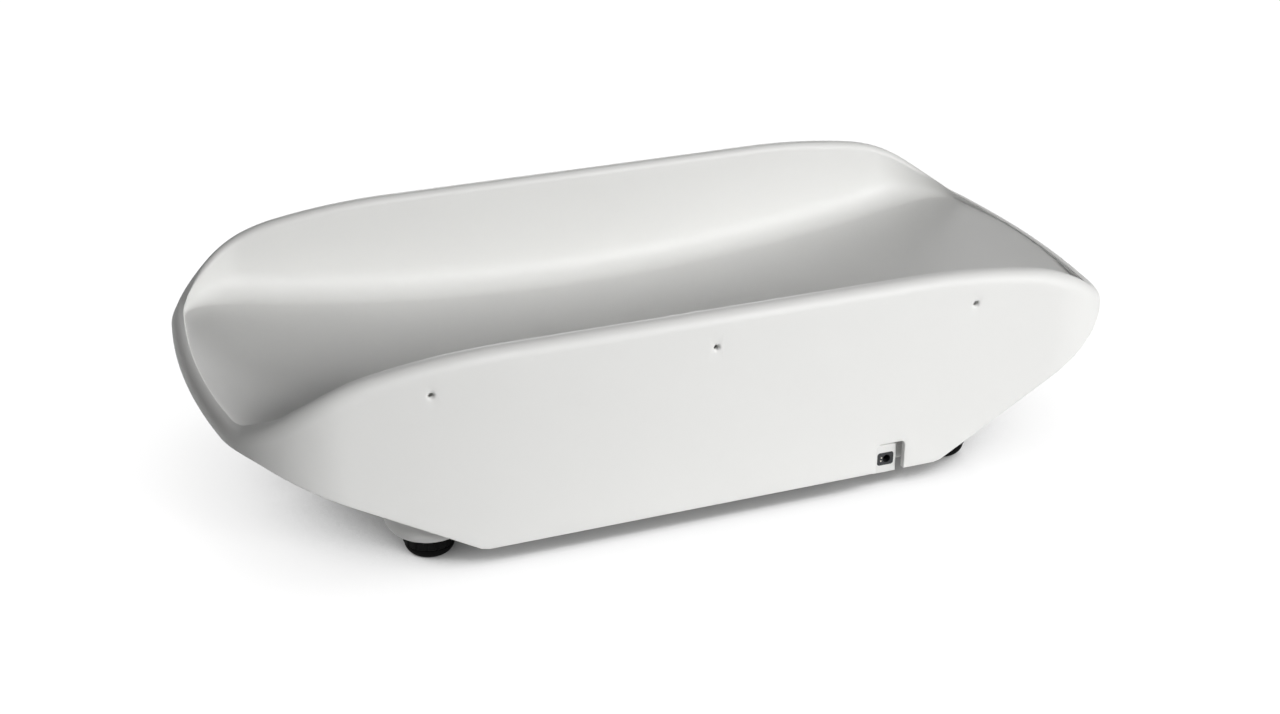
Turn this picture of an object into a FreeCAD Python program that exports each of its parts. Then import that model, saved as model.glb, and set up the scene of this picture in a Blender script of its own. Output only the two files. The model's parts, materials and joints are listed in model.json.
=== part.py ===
import FreeCAD, Part

"""Digital baby weighing scale: a boat-shaped tray carried by one load cell over a low base.

Millimetres. X runs along the tray, +Y is the rear (power socket), -Y the front (display and keys),
+Z is up. The origin is on the floor, under the middle of the tray.
"""
import math
import os

from FreeCAD import Matrix, Vector

# --- feet -----------------------------------------------------------------------------------------
FOOT_BEYOND_FLAT = 23.9       # foot axis past the level part of the underside
FOOT_INSET = 28.1             # foot axis from the side of the base
SOLE_RADIUS = 14.8            # rubber sole, where it meets the wheel
SOLE_TREAD_RADIUS = 10.4      # flat tread on the floor
SOLE_HEIGHT = 6.3
SOLE_GROOVE_RADIUS = 7.2      # ring groove in the tread
SOLE_GROOVE_WIDTH = 1.4
SOLE_GROOVE_DEPTH = 0.7
WHEEL_RADIUS = 15.3           # knurled levelling wheel
WHEEL_HEIGHT = 6.7
WHEEL_FLUTES = 16             # grip flutes around the wheel
FLUTE_RADIUS = 1.2
STUD_RADIUS = 4.0             # M8 levelling stud
STUD_LENGTH = 20.0            # above the wheel
SPIGOT_RADIUS = 5.0           # turns in the sole
SPIGOT_DEPTH = 3.4
NUT_RADIUS = 6.5              # brass insert in the foot boss
NUT_LENGTH = 12.0

# --- base housing ---------------------------------------------------------------------------------
BASE_BOTTOM = 15.0            # underside of the base above the floor
BASE_WALL = 2.5
BASE_SIDE_GAP = 9.0           # side of the base inside the tray's skirt, all of its thickness included
BASE_FLAT_INSET = 0.2         # level part of the underside ends before the skirt's does
BASE_DEPTH = 34.0             # from the underside to the open top edge
BASE_EDGE_RADIUS = 5.0
BOSS_TIP_RADIUS = 15.9        # foot boss where it meets the wheel
BOSS_RADIUS = 26.0            # the same boss where it joins the base
BOSS_BOWL_HEIGHT = 12.0       # height over which it swells from one to the other
PILLAR_RADIUS = 10.0          # solid core of a foot boss inside the base
NUT_SEAT = 2.0                # brass insert above the boss's lower face
BASE_SCREW_RADIUS = 1.5       # M3, holds the chassis
CHASSIS_POST_RADIUS = 5.0
STOP_POST_RADIUS = 6.0
STOP_THREAD_LIFT = 4.0        # end of a stop screw above the base floor
CONSOLE_RECESS = 8.0          # front wall set back behind the console
RIB_INSET = 14.1              # cross ribs before the end of the level part
RIB_THICKNESS = 2.0
RIB_HEIGHT = 9.0

# --- weighing stack, from the base floor upwards --------------------------------------------------
CHASSIS_STANDOFF = 1.5
CHASSIS_THICKNESS = 2.5
CHASSIS_LENGTH = 236.0
CHASSIS_WIDTH = 58.0
CHASSIS_CORNER = 8.0
CHASSIS_SCREW_INSET = 9.0     # from the edges of the plate
LOWER_SPACER = 2.0
CELL_LENGTH = 130.0           # single-point load cell
CELL_WIDTH = 30.0
CELL_HEIGHT = 22.0
CELL_BORE_RADIUS = 7.5        # the two bores of its binocular hole
CELL_BORE_SPACING = 30.0
CELL_WEB_GAP = 5.0            # slot between the two bores
CELL_BOLT_RADIUS = 3.0        # M6
CELL_BOLT_PITCH = 15.0        # the two bolts at each end
CELL_BOLT_EDGE = 7.5          # outer bolt from the end of the bar
SPACER_LENGTH = 30.0
UPPER_SPACER = 1.5
CARRIER_THICKNESS = 3.0
CARRIER_SCREW_X = 190.0       # spacing of the tray screws
CARRIER_SCREW_Y = 124.0
CARRIER_ARM_WIDTH = 26.0
CARRIER_SPINE_WIDTH = 42.0
WEIGHING_TRAVEL = 0.8         # how far full load presses the tray down
TRAVEL_CLEARANCE = 0.3
STOP_SPACING_X = 210.0        # overload stops
STOP_SPACING_Y = 90.0
STOP_RADIUS = 2.5

# --- tray shell -----------------------------------------------------------------------------------
TRAY_LENGTH = 570.0
TRAY_WIDTH = 258.0
END_BOW_RADIUS = 527.0        # plan radius of the bowed ends
CORNER_RADIUS = 59.5          # plan radius of the corners
TRAY_WALL = 4.0
FLOOR_GAP = 10.0              # tray underside above the carrier
TROUGH_DEPTH = 73.4           # side rims above the lowest point of the trough
FLOOR_ARC_RADIUS = 1273.0     # the trough floor is an arc along X
COVE_SIDE = 18.0              # radius between floor and wall, along the straight sides
COVE_END = 0.6                # the same, where it dies out at the bowed ends
RIM_WIDTH = 12.5              # thickness of the rolled side rims
END_RIM_WIDTH = 8.0
RIM_OUTER_ROLL = 7.5
RIM_INNER_ROLL = 4.7          # along the sides
RIM_INNER_ROLL_END = 0.5      # along the bowed ends
RIM_DEPTH = 9.0               # solid depth of the rim above the hollow
END_LIP = 0.8                 # end rim above the floor that runs up to it
RIM_SHOULDER_RADIUS = 358.0
RIM_SHOULDER_TURN = 10.8      # degrees
RIM_FALL_ANGLE = 35.2         # steepest part of the falling rim, degrees
RIM_FALL_RUN = 18.0           # straight part of the fall
RIM_SWEEP_RADIUS = 25.0       # turns the fall out into the end rim
END_BEAD_DEPTH = 8.4          # thickness of the rolled ends
SKIRT_BOTTOM = 14.2           # lower edge of the skirts above the floor
SKIRT_FLAT = 287.4            # level part of that edge
SKIRT_RISE = 30.0             # slope of the skirt's ends, degrees
SKIRT_CORNER_RADIUS = 5.0
SKIRT_TIP_RADIUS = 40.0
TRAY_BOSS_RADIUS = 6.5
TRAY_SCREW_RADIUS = 2.0       # M4
TRAY_SCREW_DEPTH = 9.0        # thread in the boss

ACCESSORY_HOLE_RADIUS = 1.7   # three pilot holes in the rear skirt, for a measuring rod
ACCESSORY_HOLE_SPACING = 168.0
ACCESSORY_HOLE_OFFSET = 4.0   # middle hole towards the +X end
ACCESSORY_HOLE_DROP = 20.6    # below the rim
ACCESSORY_DISH_RADIUS = 3.2
ACCESSORY_DISH_DEPTH = 0.5

# --- power socket ---------------------------------------------------------------------------------
SOCKET_X = -112.0
SOCKET_BOX_WIDTH = 15.0
SOCKET_BOX_HEIGHT = 19.5
SOCKET_BOX_DROP = 5.2         # how far the box hangs below the underside of the base
SOCKET_SETBACK = 6.2          # face of the box behind the skirt
JACK_WIDTH = 10.8
JACK_HEIGHT = 8.4
JACK_DEPTH = 13.0
JACK_CORNER = 1.6
JACK_HOLE_RADIUS = 2.6
JACK_HOLE_DEPTH = 9.0
JACK_HOLE_OFFSET = 0.8        # hole towards the -X side of the jack
NOTCH_SIDE_GAP = 2.0          # skirt notch around the socket box
NOTCH_TOP_GAP = 4.0
NOTCH_CORNER = 3.0

# --- display console, on the front ----------------------------------------------------------------
CONSOLE_WIDTH = 231.0
CONSOLE_HEIGHT = 43.0
CONSOLE_TILT = 5.0            # the face leans back, degrees
CONSOLE_SETBACK = 0.8         # foot of its face behind the front skirt
CONSOLE_CORNER = 9.0
CONSOLE_WALL = 2.2
CONSOLE_GAP = 1.8             # skirt notch around the console
LENS_WIDTH = 86.0
LENS_HEIGHT = 31.0
LENS_THICKNESS = 1.4
LENS_LEDGE = 3.5              # ledge that carries the lens
LENS_CORNER = 3.0
LCD_WIDTH = 84.0
LCD_HEIGHT = 30.0
LCD_THICKNESS = 2.8
BOARD_WIDTH = 206.0
BOARD_HEIGHT = 36.0
BOARD_THICKNESS = 1.6
BOARD_SETBACK = 7.0           # front of the board behind the face
BOARD_SCREW_INSET = 4.0
BOARD_POST_RADIUS = 2.6
BOARD_SCREW_RADIUS = 1.25
MAT_THICKNESS = 0.8
MAT_DOME = 0.6
KEY_WIDTH = 18.0
KEY_HEIGHT = 12.0
KEY_PROUD = 1.0               # key top above the face
KEY_TRAVEL = 0.8
KEY_FLANGE = 1.3
KEY_FLANGE_THICKNESS = 1.0
KEY_INNER_X = 62.0            # key centres from the middle
KEY_OUTER_X = 87.0
FASCIA_SCREW_INSET = 8.5      # from the ends of the console
FASCIA_POST_RADIUS = 4.0
FASCIA_SCREW_LOW = 10.0       # lower row above the base's underside
FASCIA_SCREW_Z = 25.0         # spacing of the two rows
FASCIA_SCREW_RADIUS = 1.5

# --- batteries ------------------------------------------------------------------------------------
CELL_AA_RADIUS = 7.1
CELL_AA_LENGTH = 50.0
CELLS_AA = 4
BATTERY_Y = 63.0              # middle of the battery compartment
BATTERY_WALL = 1.5
CONTACT_THICKNESS = 0.6
CONTACT_HALF = 4.0            # contact strips, from a cell's axis
FRAME_MARGIN = 6.0            # thick floor around the compartment
GRIP_HALF = 12.0              # thumb grip of the cover
GRIP_GROOVES = 4
GRIP_PITCH = 4.0
GRIP_WIDTH = 1.5
GRIP_DEPTH = 0.6
COVER_THICKNESS = 2.0
COVER_TONGUE = 1.5            # tongue of the cover in its rails
COVER_TRAVEL = 12.0
COVER_MARGIN = 3.0            # cover beyond the compartment's opening

# --- clearances -----------------------------------------------------------------------------------
GAP = 0.3                     # between pieces that move past each other
FIT = 0.1                     # between pieces that are assembled into one another
RUNNING = 0.05                # stud in its thread

X = Vector(1, 0, 0)
Y = Vector(0, 1, 0)
Z = Vector(0, 0, 1)
ORIGIN = Vector(0, 0, 0)

# --- heights that follow from the stack -----------------------------------------------------------
foot_height = SOLE_HEIGHT + GAP + WHEEL_HEIGHT
boss_bottom = foot_height + GAP
base_floor = BASE_BOTTOM + BASE_WALL
base_top = BASE_BOTTOM + BASE_DEPTH
chassis_bottom = base_floor + CHASSIS_STANDOFF
chassis_top = chassis_bottom + CHASSIS_THICKNESS
cell_bottom = chassis_top + LOWER_SPACER
cell_top = cell_bottom + CELL_HEIGHT
carrier_bottom = cell_top + UPPER_SPACER
carrier_top = carrier_bottom + CARRIER_THICKNESS
floor_low = carrier_top + FLOOR_GAP + TRAY_WALL
rim_height = floor_low + TROUGH_DEPTH
stop_tip = carrier_bottom - WEIGHING_TRAVEL - TRAVEL_CLEARANCE
stop_seat = stop_tip - 2 * STOP_RADIUS
nut_bottom = boss_bottom + NUT_SEAT
nut_top = nut_bottom + NUT_LENGTH
base_half = TRAY_WIDTH / 2 - BASE_SIDE_GAP
flat_half = SKIRT_FLAT / 2 - BASE_FLAT_INSET
foot_x = flat_half + FOOT_BEYOND_FLAT
foot_y = base_half - FOOT_INSET
front_wall = CONSOLE_RECESS - base_half
face_foot = CONSOLE_SETBACK - TRAY_WIDTH / 2
console_bottom = BASE_BOTTOM + (front_wall - face_foot) * math.sin(math.radians(CONSOLE_TILT))
console_top = console_bottom + CONSOLE_HEIGHT * math.cos(math.radians(CONSOLE_TILT))

foot_places = [Vector(sx * foot_x, sy * foot_y, 0)
               for sx in (-1, 1) for sy in (-1, 1)]
foot_names = ["front_right", "rear_right", "front_left", "rear_left"]


# --- small helpers --------------------------------------------------------------------------------
def box(x0, x1, y0, y1, z0, z1):
    return Part.makeBox(x1 - x0, y1 - y0, z1 - z0, Vector(x0, y0, z0))


def rod(radius, length, place, axis=Z):
    return Part.makeCylinder(radius, length, place, axis)


def fused(shapes):
    whole = shapes[0].fuse(shapes[1:]) if len(shapes) > 1 else shapes[0]
    return whole.removeSplitter()


def group(solids):
    return Part.makeCompound(solids)


def revolved(points):
    """Solid of revolution about Z from (radius, height) points."""
    wire = Part.makePolygon([Vector(r, 0, z) for r, z in points + points[:1]])
    return Part.Face(wire).revolve(ORIGIN, Z, 360)


def rounded_plate(width, height, corner, z0, z1):
    """Plate in the XY plane, centred, with rounded corners."""
    w, h = width / 2, height / 2
    plate = box(-w, w, -h, h, z0, z1)
    return plate.makeFillet(corner, [e for e in plate.Edges if is_along(e, Z)])


def is_along(edge, axis):
    ends = edge.Vertexes
    if len(ends) != 2:
        return False
    run = ends[1].Point - ends[0].Point
    return run.Length > 1e-6 and run.cross(axis).Length < 1e-6 * run.Length


def four(dx, dy):
    """The four corners of a dx by dy pattern about the origin."""
    return [Vector(sx * dx / 2, sy * dy / 2, 0) for sx in (-1, 1) for sy in (-1, 1)]


class Path:
    """A chain of tangent lines and arcs in the XZ plane."""

    def __init__(self, x, z, heading=0.0):
        self.end = Vector(x, 0, z)
        self.heading = math.radians(heading)
        self.edges = []

    def line(self, length):
        ahead = Vector(math.cos(self.heading), 0, math.sin(self.heading))
        start, self.end = self.end, self.end + ahead * length
        self.edges.append(Part.LineSegment(start, self.end).toShape())
        return self

    def line_to_x(self, x):
        return self.line((x - self.end.x) / math.cos(self.heading))

    def line_to_z(self, z):
        return self.line((z - self.end.z) / math.sin(self.heading))

    def arc(self, radius, turn):
        """Turns by so many degrees, upwards where the turn is positive."""
        turn = math.radians(turn)
        side = math.copysign(radius, turn)
        centre = self.end + Vector(-math.sin(self.heading), 0, math.cos(self.heading)) * side
        spots = [centre + Vector(math.sin(a), 0, -math.cos(a)) * side
                 for a in (self.heading + turn / 2, self.heading + turn)]
        self.edges.append(Part.Arc(self.end, spots[0], spots[1]).toShape())
        self.end = spots[1]
        self.heading += turn
        return self


# --- tray shell -----------------------------------------------------------------------------------
def plan_edges(inset, end_inset):
    """A quarter of the tray's plan outline: half a side, one corner, half a bowed end."""
    half_length = TRAY_LENGTH / 2 - end_inset
    half_width = TRAY_WIDTH / 2 - inset
    corner = CORNER_RADIUS - inset
    bow = END_BOW_RADIUS - end_inset
    bow_x = half_length - bow
    corner_y = half_width - corner
    corner_x = bow_x + math.sqrt((bow - corner) ** 2 - corner_y ** 2)
    turn = math.atan2(corner_y, corner_x - bow_x)
    middle = (turn + math.pi / 2) / 2
    side_end = Vector(corner_x, half_width, 0)
    corner_mid = Vector(corner_x + corner * math.cos(middle), corner_y + corner * math.sin(middle), 0)
    bow_end = Vector(bow_x + bow * math.cos(turn), bow * math.sin(turn), 0)
    bow_mid = Vector(bow_x + bow * math.cos(turn / 2), bow * math.sin(turn / 2), 0)
    tip = Vector(half_length, 0, 0)
    return [Part.LineSegment(Vector(0, half_width, 0), side_end).toShape(),
            Part.Arc(side_end, corner_mid, bow_end).toShape(),
            Part.Arc(bow_end, bow_mid, tip).toShape()]


def plan_prism(inset, end_inset, z0, z1):
    """The quarter plan as an upright prism."""
    edges = plan_edges(inset, end_inset)
    side, tip = edges[0].Vertexes[0].Point, Vector(TRAY_LENGTH / 2 - end_inset, 0, 0)
    edges += [Part.LineSegment(tip, ORIGIN).toShape(), Part.LineSegment(ORIGIN, side).toShape()]
    face = Part.Face(Part.Wire(edges))
    face.translate(Z * z0)
    return face.extrude(Z * (z1 - z0))


def floor_height(x):
    """Height of the trough floor at a distance from mid-length."""
    return floor_low + FLOOR_ARC_RADIUS - math.sqrt(FLOOR_ARC_RADIUS ** 2 - x ** 2)


def rim_line(drop=0.0):
    """The rim in side view: level, falling in a long S, and rising gently along the bowed end."""
    end_x = TRAY_LENGTH / 2 - END_RIM_WIDTH
    end_z = floor_height(end_x) + END_LIP
    end_slope = math.degrees(math.asin(end_x / FLOOR_ARC_RADIUS))
    a, b = math.radians(RIM_SHOULDER_TURN), math.radians(RIM_FALL_ANGLE)
    landed = RIM_SWEEP_RADIUS * (1 - math.cos(b))
    run = RIM_FALL_RUN * math.sin(b)
    shoulder = RIM_SHOULDER_RADIUS * (1 - math.cos(a))
    fall_radius = (rim_height - end_z - landed - run - shoulder) / (math.cos(a) - math.cos(b))
    reach = (RIM_SHOULDER_RADIUS * math.sin(a) + fall_radius * (math.sin(b) - math.sin(a))
             + RIM_FALL_RUN * math.cos(b) + RIM_SWEEP_RADIUS * math.sin(b))
    path = Path(0, rim_height - drop)
    path.line(end_x - reach)
    path.arc(RIM_SHOULDER_RADIUS, -RIM_SHOULDER_TURN)
    path.arc(fall_radius, RIM_SHOULDER_TURN - RIM_FALL_ANGLE)
    path.line(RIM_FALL_RUN)
    path.arc(RIM_SWEEP_RADIUS, RIM_FALL_ANGLE + end_slope)
    return path.line_to_x(TRAY_LENGTH / 2 + RIM_WIDTH)


def end_bead_bottom():
    return floor_height(TRAY_LENGTH / 2 - END_RIM_WIDTH) + END_LIP - END_BEAD_DEPTH


def skirt_line():
    """Lower edge of the skirts in side view: level, sloping up, and level again under the ends."""
    turned = SKIRT_TIP_RADIUS * (1 - math.cos(math.radians(SKIRT_RISE)))
    path = Path(0, SKIRT_BOTTOM)
    path.line(SKIRT_FLAT / 2).arc(SKIRT_CORNER_RADIUS, SKIRT_RISE)
    path.line_to_z(end_bead_bottom() - turned).arc(SKIRT_TIP_RADIUS, -SKIRT_RISE)
    return path.line_to_x(TRAY_LENGTH / 2 + RIM_WIDTH)


def side_view(top, bottom_edges, bottom_end, z_start):
    """Quarter solid between an upper path and a lower chain of edges, across half the tray."""
    start = Vector(0, 0, z_start)
    edges = top.edges + bottom_edges
    edges += [Part.LineSegment(top.end, bottom_end).toShape(),
              Part.LineSegment(start, top.edges[0].Vertexes[0].Point).toShape()]
    return Part.Face(Part.Wire(Part.__sortEdges__(edges))).extrude(Y * TRAY_WIDTH)


def trough(grow):
    """Quarter of the trough's hollow, or of its outer skin where it grows by the wall.

    The floor is an arc along the tray. The cove between floor and wall is even along the side and
    shrinks round the corner until it dies out at the bowed end."""
    prism = plan_prism(RIM_WIDTH - grow, END_RIM_WIDTH - grow, 0, rim_height + TROUGH_DEPTH)
    radius = FLOOR_ARC_RADIUS + grow
    centre = Vector(0, -TRAY_WIDTH, floor_low + FLOOR_ARC_RADIUS)
    hollow = prism.common(rod(radius, 2 * TRAY_WIDTH, centre, Y))
    side = [e for e in hollow.Edges if is_along_floor(e, radius)]
    side.sort(key=lambda e: e.CenterOfMass.x)
    return hollow.makeFillet(COVE_SIDE + grow, COVE_END + grow, side[1:2])


def is_along_floor(edge, radius):
    """True for the edges between the trough's floor and its walls."""
    centre_z = floor_low + FLOOR_ARC_RADIUS
    spots = edge.discretize(5)
    on_floor = all(abs(math.hypot(p.x, p.z - centre_z) - radius) < 1e-3 for p in spots)
    return on_floor and spots[2].x > 1e-3 and spots[2].y > 1e-3


def rim_edges(shape, inset, end_inset):
    """The edges where the rim's top meets a plan outline."""
    outline = Part.Wire(plan_edges(inset, end_inset))
    crest = Part.Wire(rim_line().edges)

    def on_rim(p):
        over = Part.Vertex(Vector(p.x, 0, p.z)).distToShape(crest)[0]
        beside = Part.Vertex(Vector(p.x, p.y, 0)).distToShape(outline)[0]
        return over < 0.02 and beside < 0.02

    found = [e for e in shape.Edges if all(on_rim(p) for p in e.discretize(4))]
    return sorted(found, key=lambda e: e.CenterOfMass.x)


def tray_quarter():
    skirt = skirt_line()
    blank = plan_prism(0, 0, 0, rim_height + 1)
    blank = blank.common(side_view(rim_line(), skirt.edges, skirt.end, SKIRT_BOTTOM))
    shell = blank.cut(trough(0))
    shell = shell.makeFillet(RIM_OUTER_ROLL, rim_edges(shell, 0, 0))
    inner = rim_edges(shell, RIM_WIDTH, END_RIM_WIDTH)
    corner_x = plan_edges(RIM_WIDTH, END_RIM_WIDTH)[0].Vertexes[1].Point.x
    round_corner = [e for e in inner if e.CenterOfMass.x > corner_x]
    shell = shell.makeFillet(RIM_INNER_ROLL, RIM_INNER_ROLL_END, round_corner[1:2])
    ceiling = rim_line(RIM_DEPTH)
    low = Vector(ceiling.end.x, 0, 0)
    hollow = plan_prism(TRAY_WALL, TRAY_WALL, -1, rim_height)
    hollow = hollow.common(side_view(ceiling, [Part.LineSegment(ORIGIN, low).toShape()], low, 0))
    return shell.cut(hollow.cut(trough(TRAY_WALL)))


def tray_shell():
    """The moulded tray: trough, rolled rim, skirts, screw bosses, notches and pilot holes."""
    quarter = tray_quarter()
    half = quarter.fuse(quarter.mirror(ORIGIN, X)).removeSplitter()
    shell = half.fuse(half.mirror(ORIGIN, Y)).removeSplitter()

    depth = floor_height(CARRIER_SCREW_X / 2) - TRAY_WALL / 2 - carrier_top
    spots = four(CARRIER_SCREW_X, CARRIER_SCREW_Y)
    shell = shell.fuse([rod(TRAY_BOSS_RADIUS, depth, p + Z * carrier_top) for p in spots])
    shell = shell.cut([rod(TRAY_SCREW_RADIUS, depth, p + Z * (carrier_top - 1)) for p in spots])

    shell = shell.cut([socket_notch(), console_notch()])
    rear = TRAY_WIDTH / 2
    for i in (-1, 0, 1):
        mouth = Vector(ACCESSORY_HOLE_OFFSET + i * ACCESSORY_HOLE_SPACING, rear - TRAY_WALL - 1,
                       rim_height - ACCESSORY_HOLE_DROP)
        bore = rod(ACCESSORY_HOLE_RADIUS, TRAY_WALL + 2, mouth, Y)
        dish = Part.makeCone(ACCESSORY_HOLE_RADIUS, ACCESSORY_DISH_RADIUS, ACCESSORY_DISH_DEPTH,
                             Vector(mouth.x, rear - ACCESSORY_DISH_DEPTH, mouth.z), Y)
        shell = shell.cut([bore, dish])
    return shell


def notch(x0, x1, top, y0, y1, corner):
    """Cutter for a skirt notch: open below, with rounded upper corners."""
    cutter = box(x0, x1, y0, y1, -1, top)
    upper = [e for e in cutter.Edges if is_along(e, Y) and e.CenterOfMass.z > top - 1e-6]
    return cutter.makeFillet(corner, upper)


def socket_notch():
    half = SOCKET_BOX_WIDTH / 2 + NOTCH_SIDE_GAP
    top = BASE_BOTTOM - SOCKET_BOX_DROP + SOCKET_BOX_HEIGHT + NOTCH_TOP_GAP
    rear = TRAY_WIDTH / 2
    return notch(SOCKET_X - half, SOCKET_X + half, top, rear - TRAY_WALL - 1, rear + 1, NOTCH_CORNER)


def console_notch():
    half = CONSOLE_WIDTH / 2 + CONSOLE_GAP
    top = console_top + CONSOLE_GAP
    front = -TRAY_WIDTH / 2
    corner = CONSOLE_CORNER + CONSOLE_GAP
    return notch(-half, half, top, front - 1, front + TRAY_WALL + 1, corner)


# --- weighing stack -------------------------------------------------------------------------------
def cell_bolt_places(side):
    """The two bolt axes at one end of the load cell."""
    outer = CELL_LENGTH / 2 - CELL_BOLT_EDGE
    return [Vector(side * outer, 0, 0), Vector(side * (outer - CELL_BOLT_PITCH), 0, 0)]


def load_cell():
    """Aluminium bar with a binocular hole, which bends as a parallel guide."""
    bar = box(-CELL_LENGTH / 2, CELL_LENGTH / 2, -CELL_WIDTH / 2, CELL_WIDTH / 2, cell_bottom, cell_top)
    middle = (cell_bottom + cell_top) / 2
    half = CELL_BORE_SPACING / 2
    cuts = [rod(CELL_BORE_RADIUS, CELL_WIDTH, Vector(sx * half, -CELL_WIDTH / 2, middle), Y)
            for sx in (-1, 1)]
    cuts.append(box(-half, half, -CELL_WIDTH / 2, CELL_WIDTH / 2,
                    middle - CELL_WEB_GAP / 2, middle + CELL_WEB_GAP / 2))
    depth = CELL_HEIGHT / 2
    cuts += [rod(CELL_BOLT_RADIUS, depth, p + Z * cell_bottom) for p in cell_bolt_places(-1)]
    cuts += [rod(CELL_BOLT_RADIUS, depth, p + Z * (cell_top - depth)) for p in cell_bolt_places(1)]
    return bar.cut(cuts)


def spacer(side, z0, thickness):
    outer = side * CELL_LENGTH / 2
    inner = outer - side * SPACER_LENGTH
    half = CELL_WIDTH / 2
    pad = box(min(outer, inner), max(outer, inner), -half, half, z0, z0 + thickness)
    return pad.cut([rod(CELL_BOLT_RADIUS + FIT, thickness, p + Z * z0) for p in cell_bolt_places(side)])


def lower_spacer():
    return spacer(-1, chassis_top, LOWER_SPACER)


def upper_spacer():
    return spacer(1, cell_top, UPPER_SPACER)


def cell_base_bolts():
    """Button-head bolts from under the chassis into the fixed end of the cell."""
    head = CELL_BOLT_RADIUS * 1.1
    length = CHASSIS_THICKNESS + LOWER_SPACER + CELL_HEIGHT / 2 - 1
    bolts = []
    for p in cell_bolt_places(-1):
        shank = rod(CELL_BOLT_RADIUS, length, p + Z * chassis_bottom)
        cap = Part.makeCone(CELL_BOLT_RADIUS * 1.3, CELL_BOLT_RADIUS * 1.75, head,
                            p + Z * (chassis_bottom - head))
        key = hexagon(CELL_BOLT_RADIUS * 0.6, p + Z * (chassis_bottom - head), head * 0.7)
        bolts.append(shank.fuse(cap).removeSplitter().cut(key))
    return group(bolts)


def hexagon(radius, place, depth):
    corners = [place + Vector(math.cos(i * math.pi / 3), math.sin(i * math.pi / 3), 0) * radius
               for i in range(7)]
    return Part.Face(Part.makePolygon(corners)).extrude(Z * depth)


def cell_top_bolts():
    """Countersunk bolts through the carrier into the free end of the cell."""
    sink = CELL_BOLT_RADIUS
    length = CARRIER_THICKNESS + UPPER_SPACER + CELL_HEIGHT / 2 - 1
    bolts = []
    for p in cell_bolt_places(1):
        shank = rod(CELL_BOLT_RADIUS, length, p + Z * (carrier_top - length))
        head = Part.makeCone(CELL_BOLT_RADIUS, CELL_BOLT_RADIUS + sink, sink,
                             p + Z * (carrier_top - sink))
        key = hexagon(CELL_BOLT_RADIUS * 0.6, p + Z * (carrier_top - sink * 0.7), sink * 0.7)
        bolts.append(shank.fuse(head).removeSplitter().cut(key))
    return group(bolts)


def tray_carrier():
    """Aluminium plate with four arms that carries the tray on the free end of the cell."""
    reach = math.hypot(CARRIER_SCREW_X, CARRIER_SCREW_Y)
    angle = math.degrees(math.atan2(CARRIER_SCREW_Y, CARRIER_SCREW_X))
    spine_half = CELL_LENGTH / 2 + CELL_BOLT_EDGE
    spine = rounded_plate(2 * spine_half, CARRIER_SPINE_WIDTH, CARRIER_SPINE_WIDTH / 4,
                          carrier_bottom, carrier_top)
    plates = [spine]
    for turn in (angle, -angle):
        arm = rounded_plate(reach + CARRIER_ARM_WIDTH, CARRIER_ARM_WIDTH, CARRIER_ARM_WIDTH / 2 - 0.01,
                            carrier_bottom, carrier_top)
        arm.rotate(ORIGIN, Z, turn)
        plates.append(arm)
    plate = fused(plates)
    cuts = [rod(TRAY_SCREW_RADIUS + FIT, CARRIER_THICKNESS, p + Z * carrier_bottom)
            for p in four(CARRIER_SCREW_X, CARRIER_SCREW_Y)]
    sink = CELL_BOLT_RADIUS
    for p in cell_bolt_places(1):
        cuts.append(rod(CELL_BOLT_RADIUS + FIT, CARRIER_THICKNESS, p + Z * carrier_bottom))
        cuts.append(Part.makeCone(CELL_BOLT_RADIUS + FIT, CELL_BOLT_RADIUS + sink + FIT, sink,
                                  p + Z * (carrier_top - sink)))
    return plate.cut(cuts)


def head_screw(radius, length, place, axis):
    """Cheese-head screw: the head's seat is at the place, the shank runs along the axis."""
    shank = rod(radius, length, place, axis)
    head = rod(radius * 2, radius * 1.2, place - axis * radius * 1.2, axis)
    far = place - axis * radius * 1.2
    rim = [e for e in head.Edges if (e.CenterOfMass - far).Length < 1e-3 and len(e.Vertexes) == 1]
    return shank.fuse(head.makeChamfer(radius * 0.5, rim)).removeSplitter()


def carrier_screws():
    length = CARRIER_THICKNESS + TRAY_SCREW_DEPTH
    return group([head_screw(TRAY_SCREW_RADIUS - FIT, length, p + Z * carrier_bottom, Z)
                  for p in four(CARRIER_SCREW_X, CARRIER_SCREW_Y)])


def chassis_screw_places():
    inset = 2 * CHASSIS_SCREW_INSET
    return four(CHASSIS_LENGTH - inset, CHASSIS_WIDTH - inset)


def base_chassis():
    """Steel plate on the base floor, which carries the fixed end of the cell."""
    plate = rounded_plate(CHASSIS_LENGTH, CHASSIS_WIDTH, CHASSIS_CORNER, chassis_bottom, chassis_top)
    cuts = [rod(CELL_BOLT_RADIUS + FIT, CHASSIS_THICKNESS, p + Z * chassis_bottom)
            for p in cell_bolt_places(-1)]
    cuts += [rod(BASE_SCREW_RADIUS + FIT, CHASSIS_THICKNESS, p + Z * chassis_bottom)
             for p in chassis_screw_places()]
    slot = rounded_plate(CELL_LENGTH * 0.4, CELL_WIDTH * 0.6, 6, chassis_bottom, chassis_top)
    slot.translate(X * CELL_LENGTH * 0.3)
    return plate.cut(cuts + [slot])


def chassis_screws():
    length = CHASSIS_THICKNESS + CHASSIS_STANDOFF + BASE_WALL * 0.6
    return group([head_screw(BASE_SCREW_RADIUS, length, p + Z * chassis_top, -Z)
                  for p in chassis_screw_places()])


def overload_stops():
    """Stop screws in the base's pillars, set just below the arms of the carrier."""
    screws = []
    for p in four(STOP_SPACING_X, STOP_SPACING_Y):
        low = base_floor + STOP_THREAD_LIFT
        shank = rod(STOP_RADIUS, stop_seat - low, p + Z * low)
        head = hexagon(STOP_RADIUS * 1.8, p + Z * stop_seat, 2 * STOP_RADIUS)
        screws.append(shank.fuse(head).removeSplitter())
    return group(screws)


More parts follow.
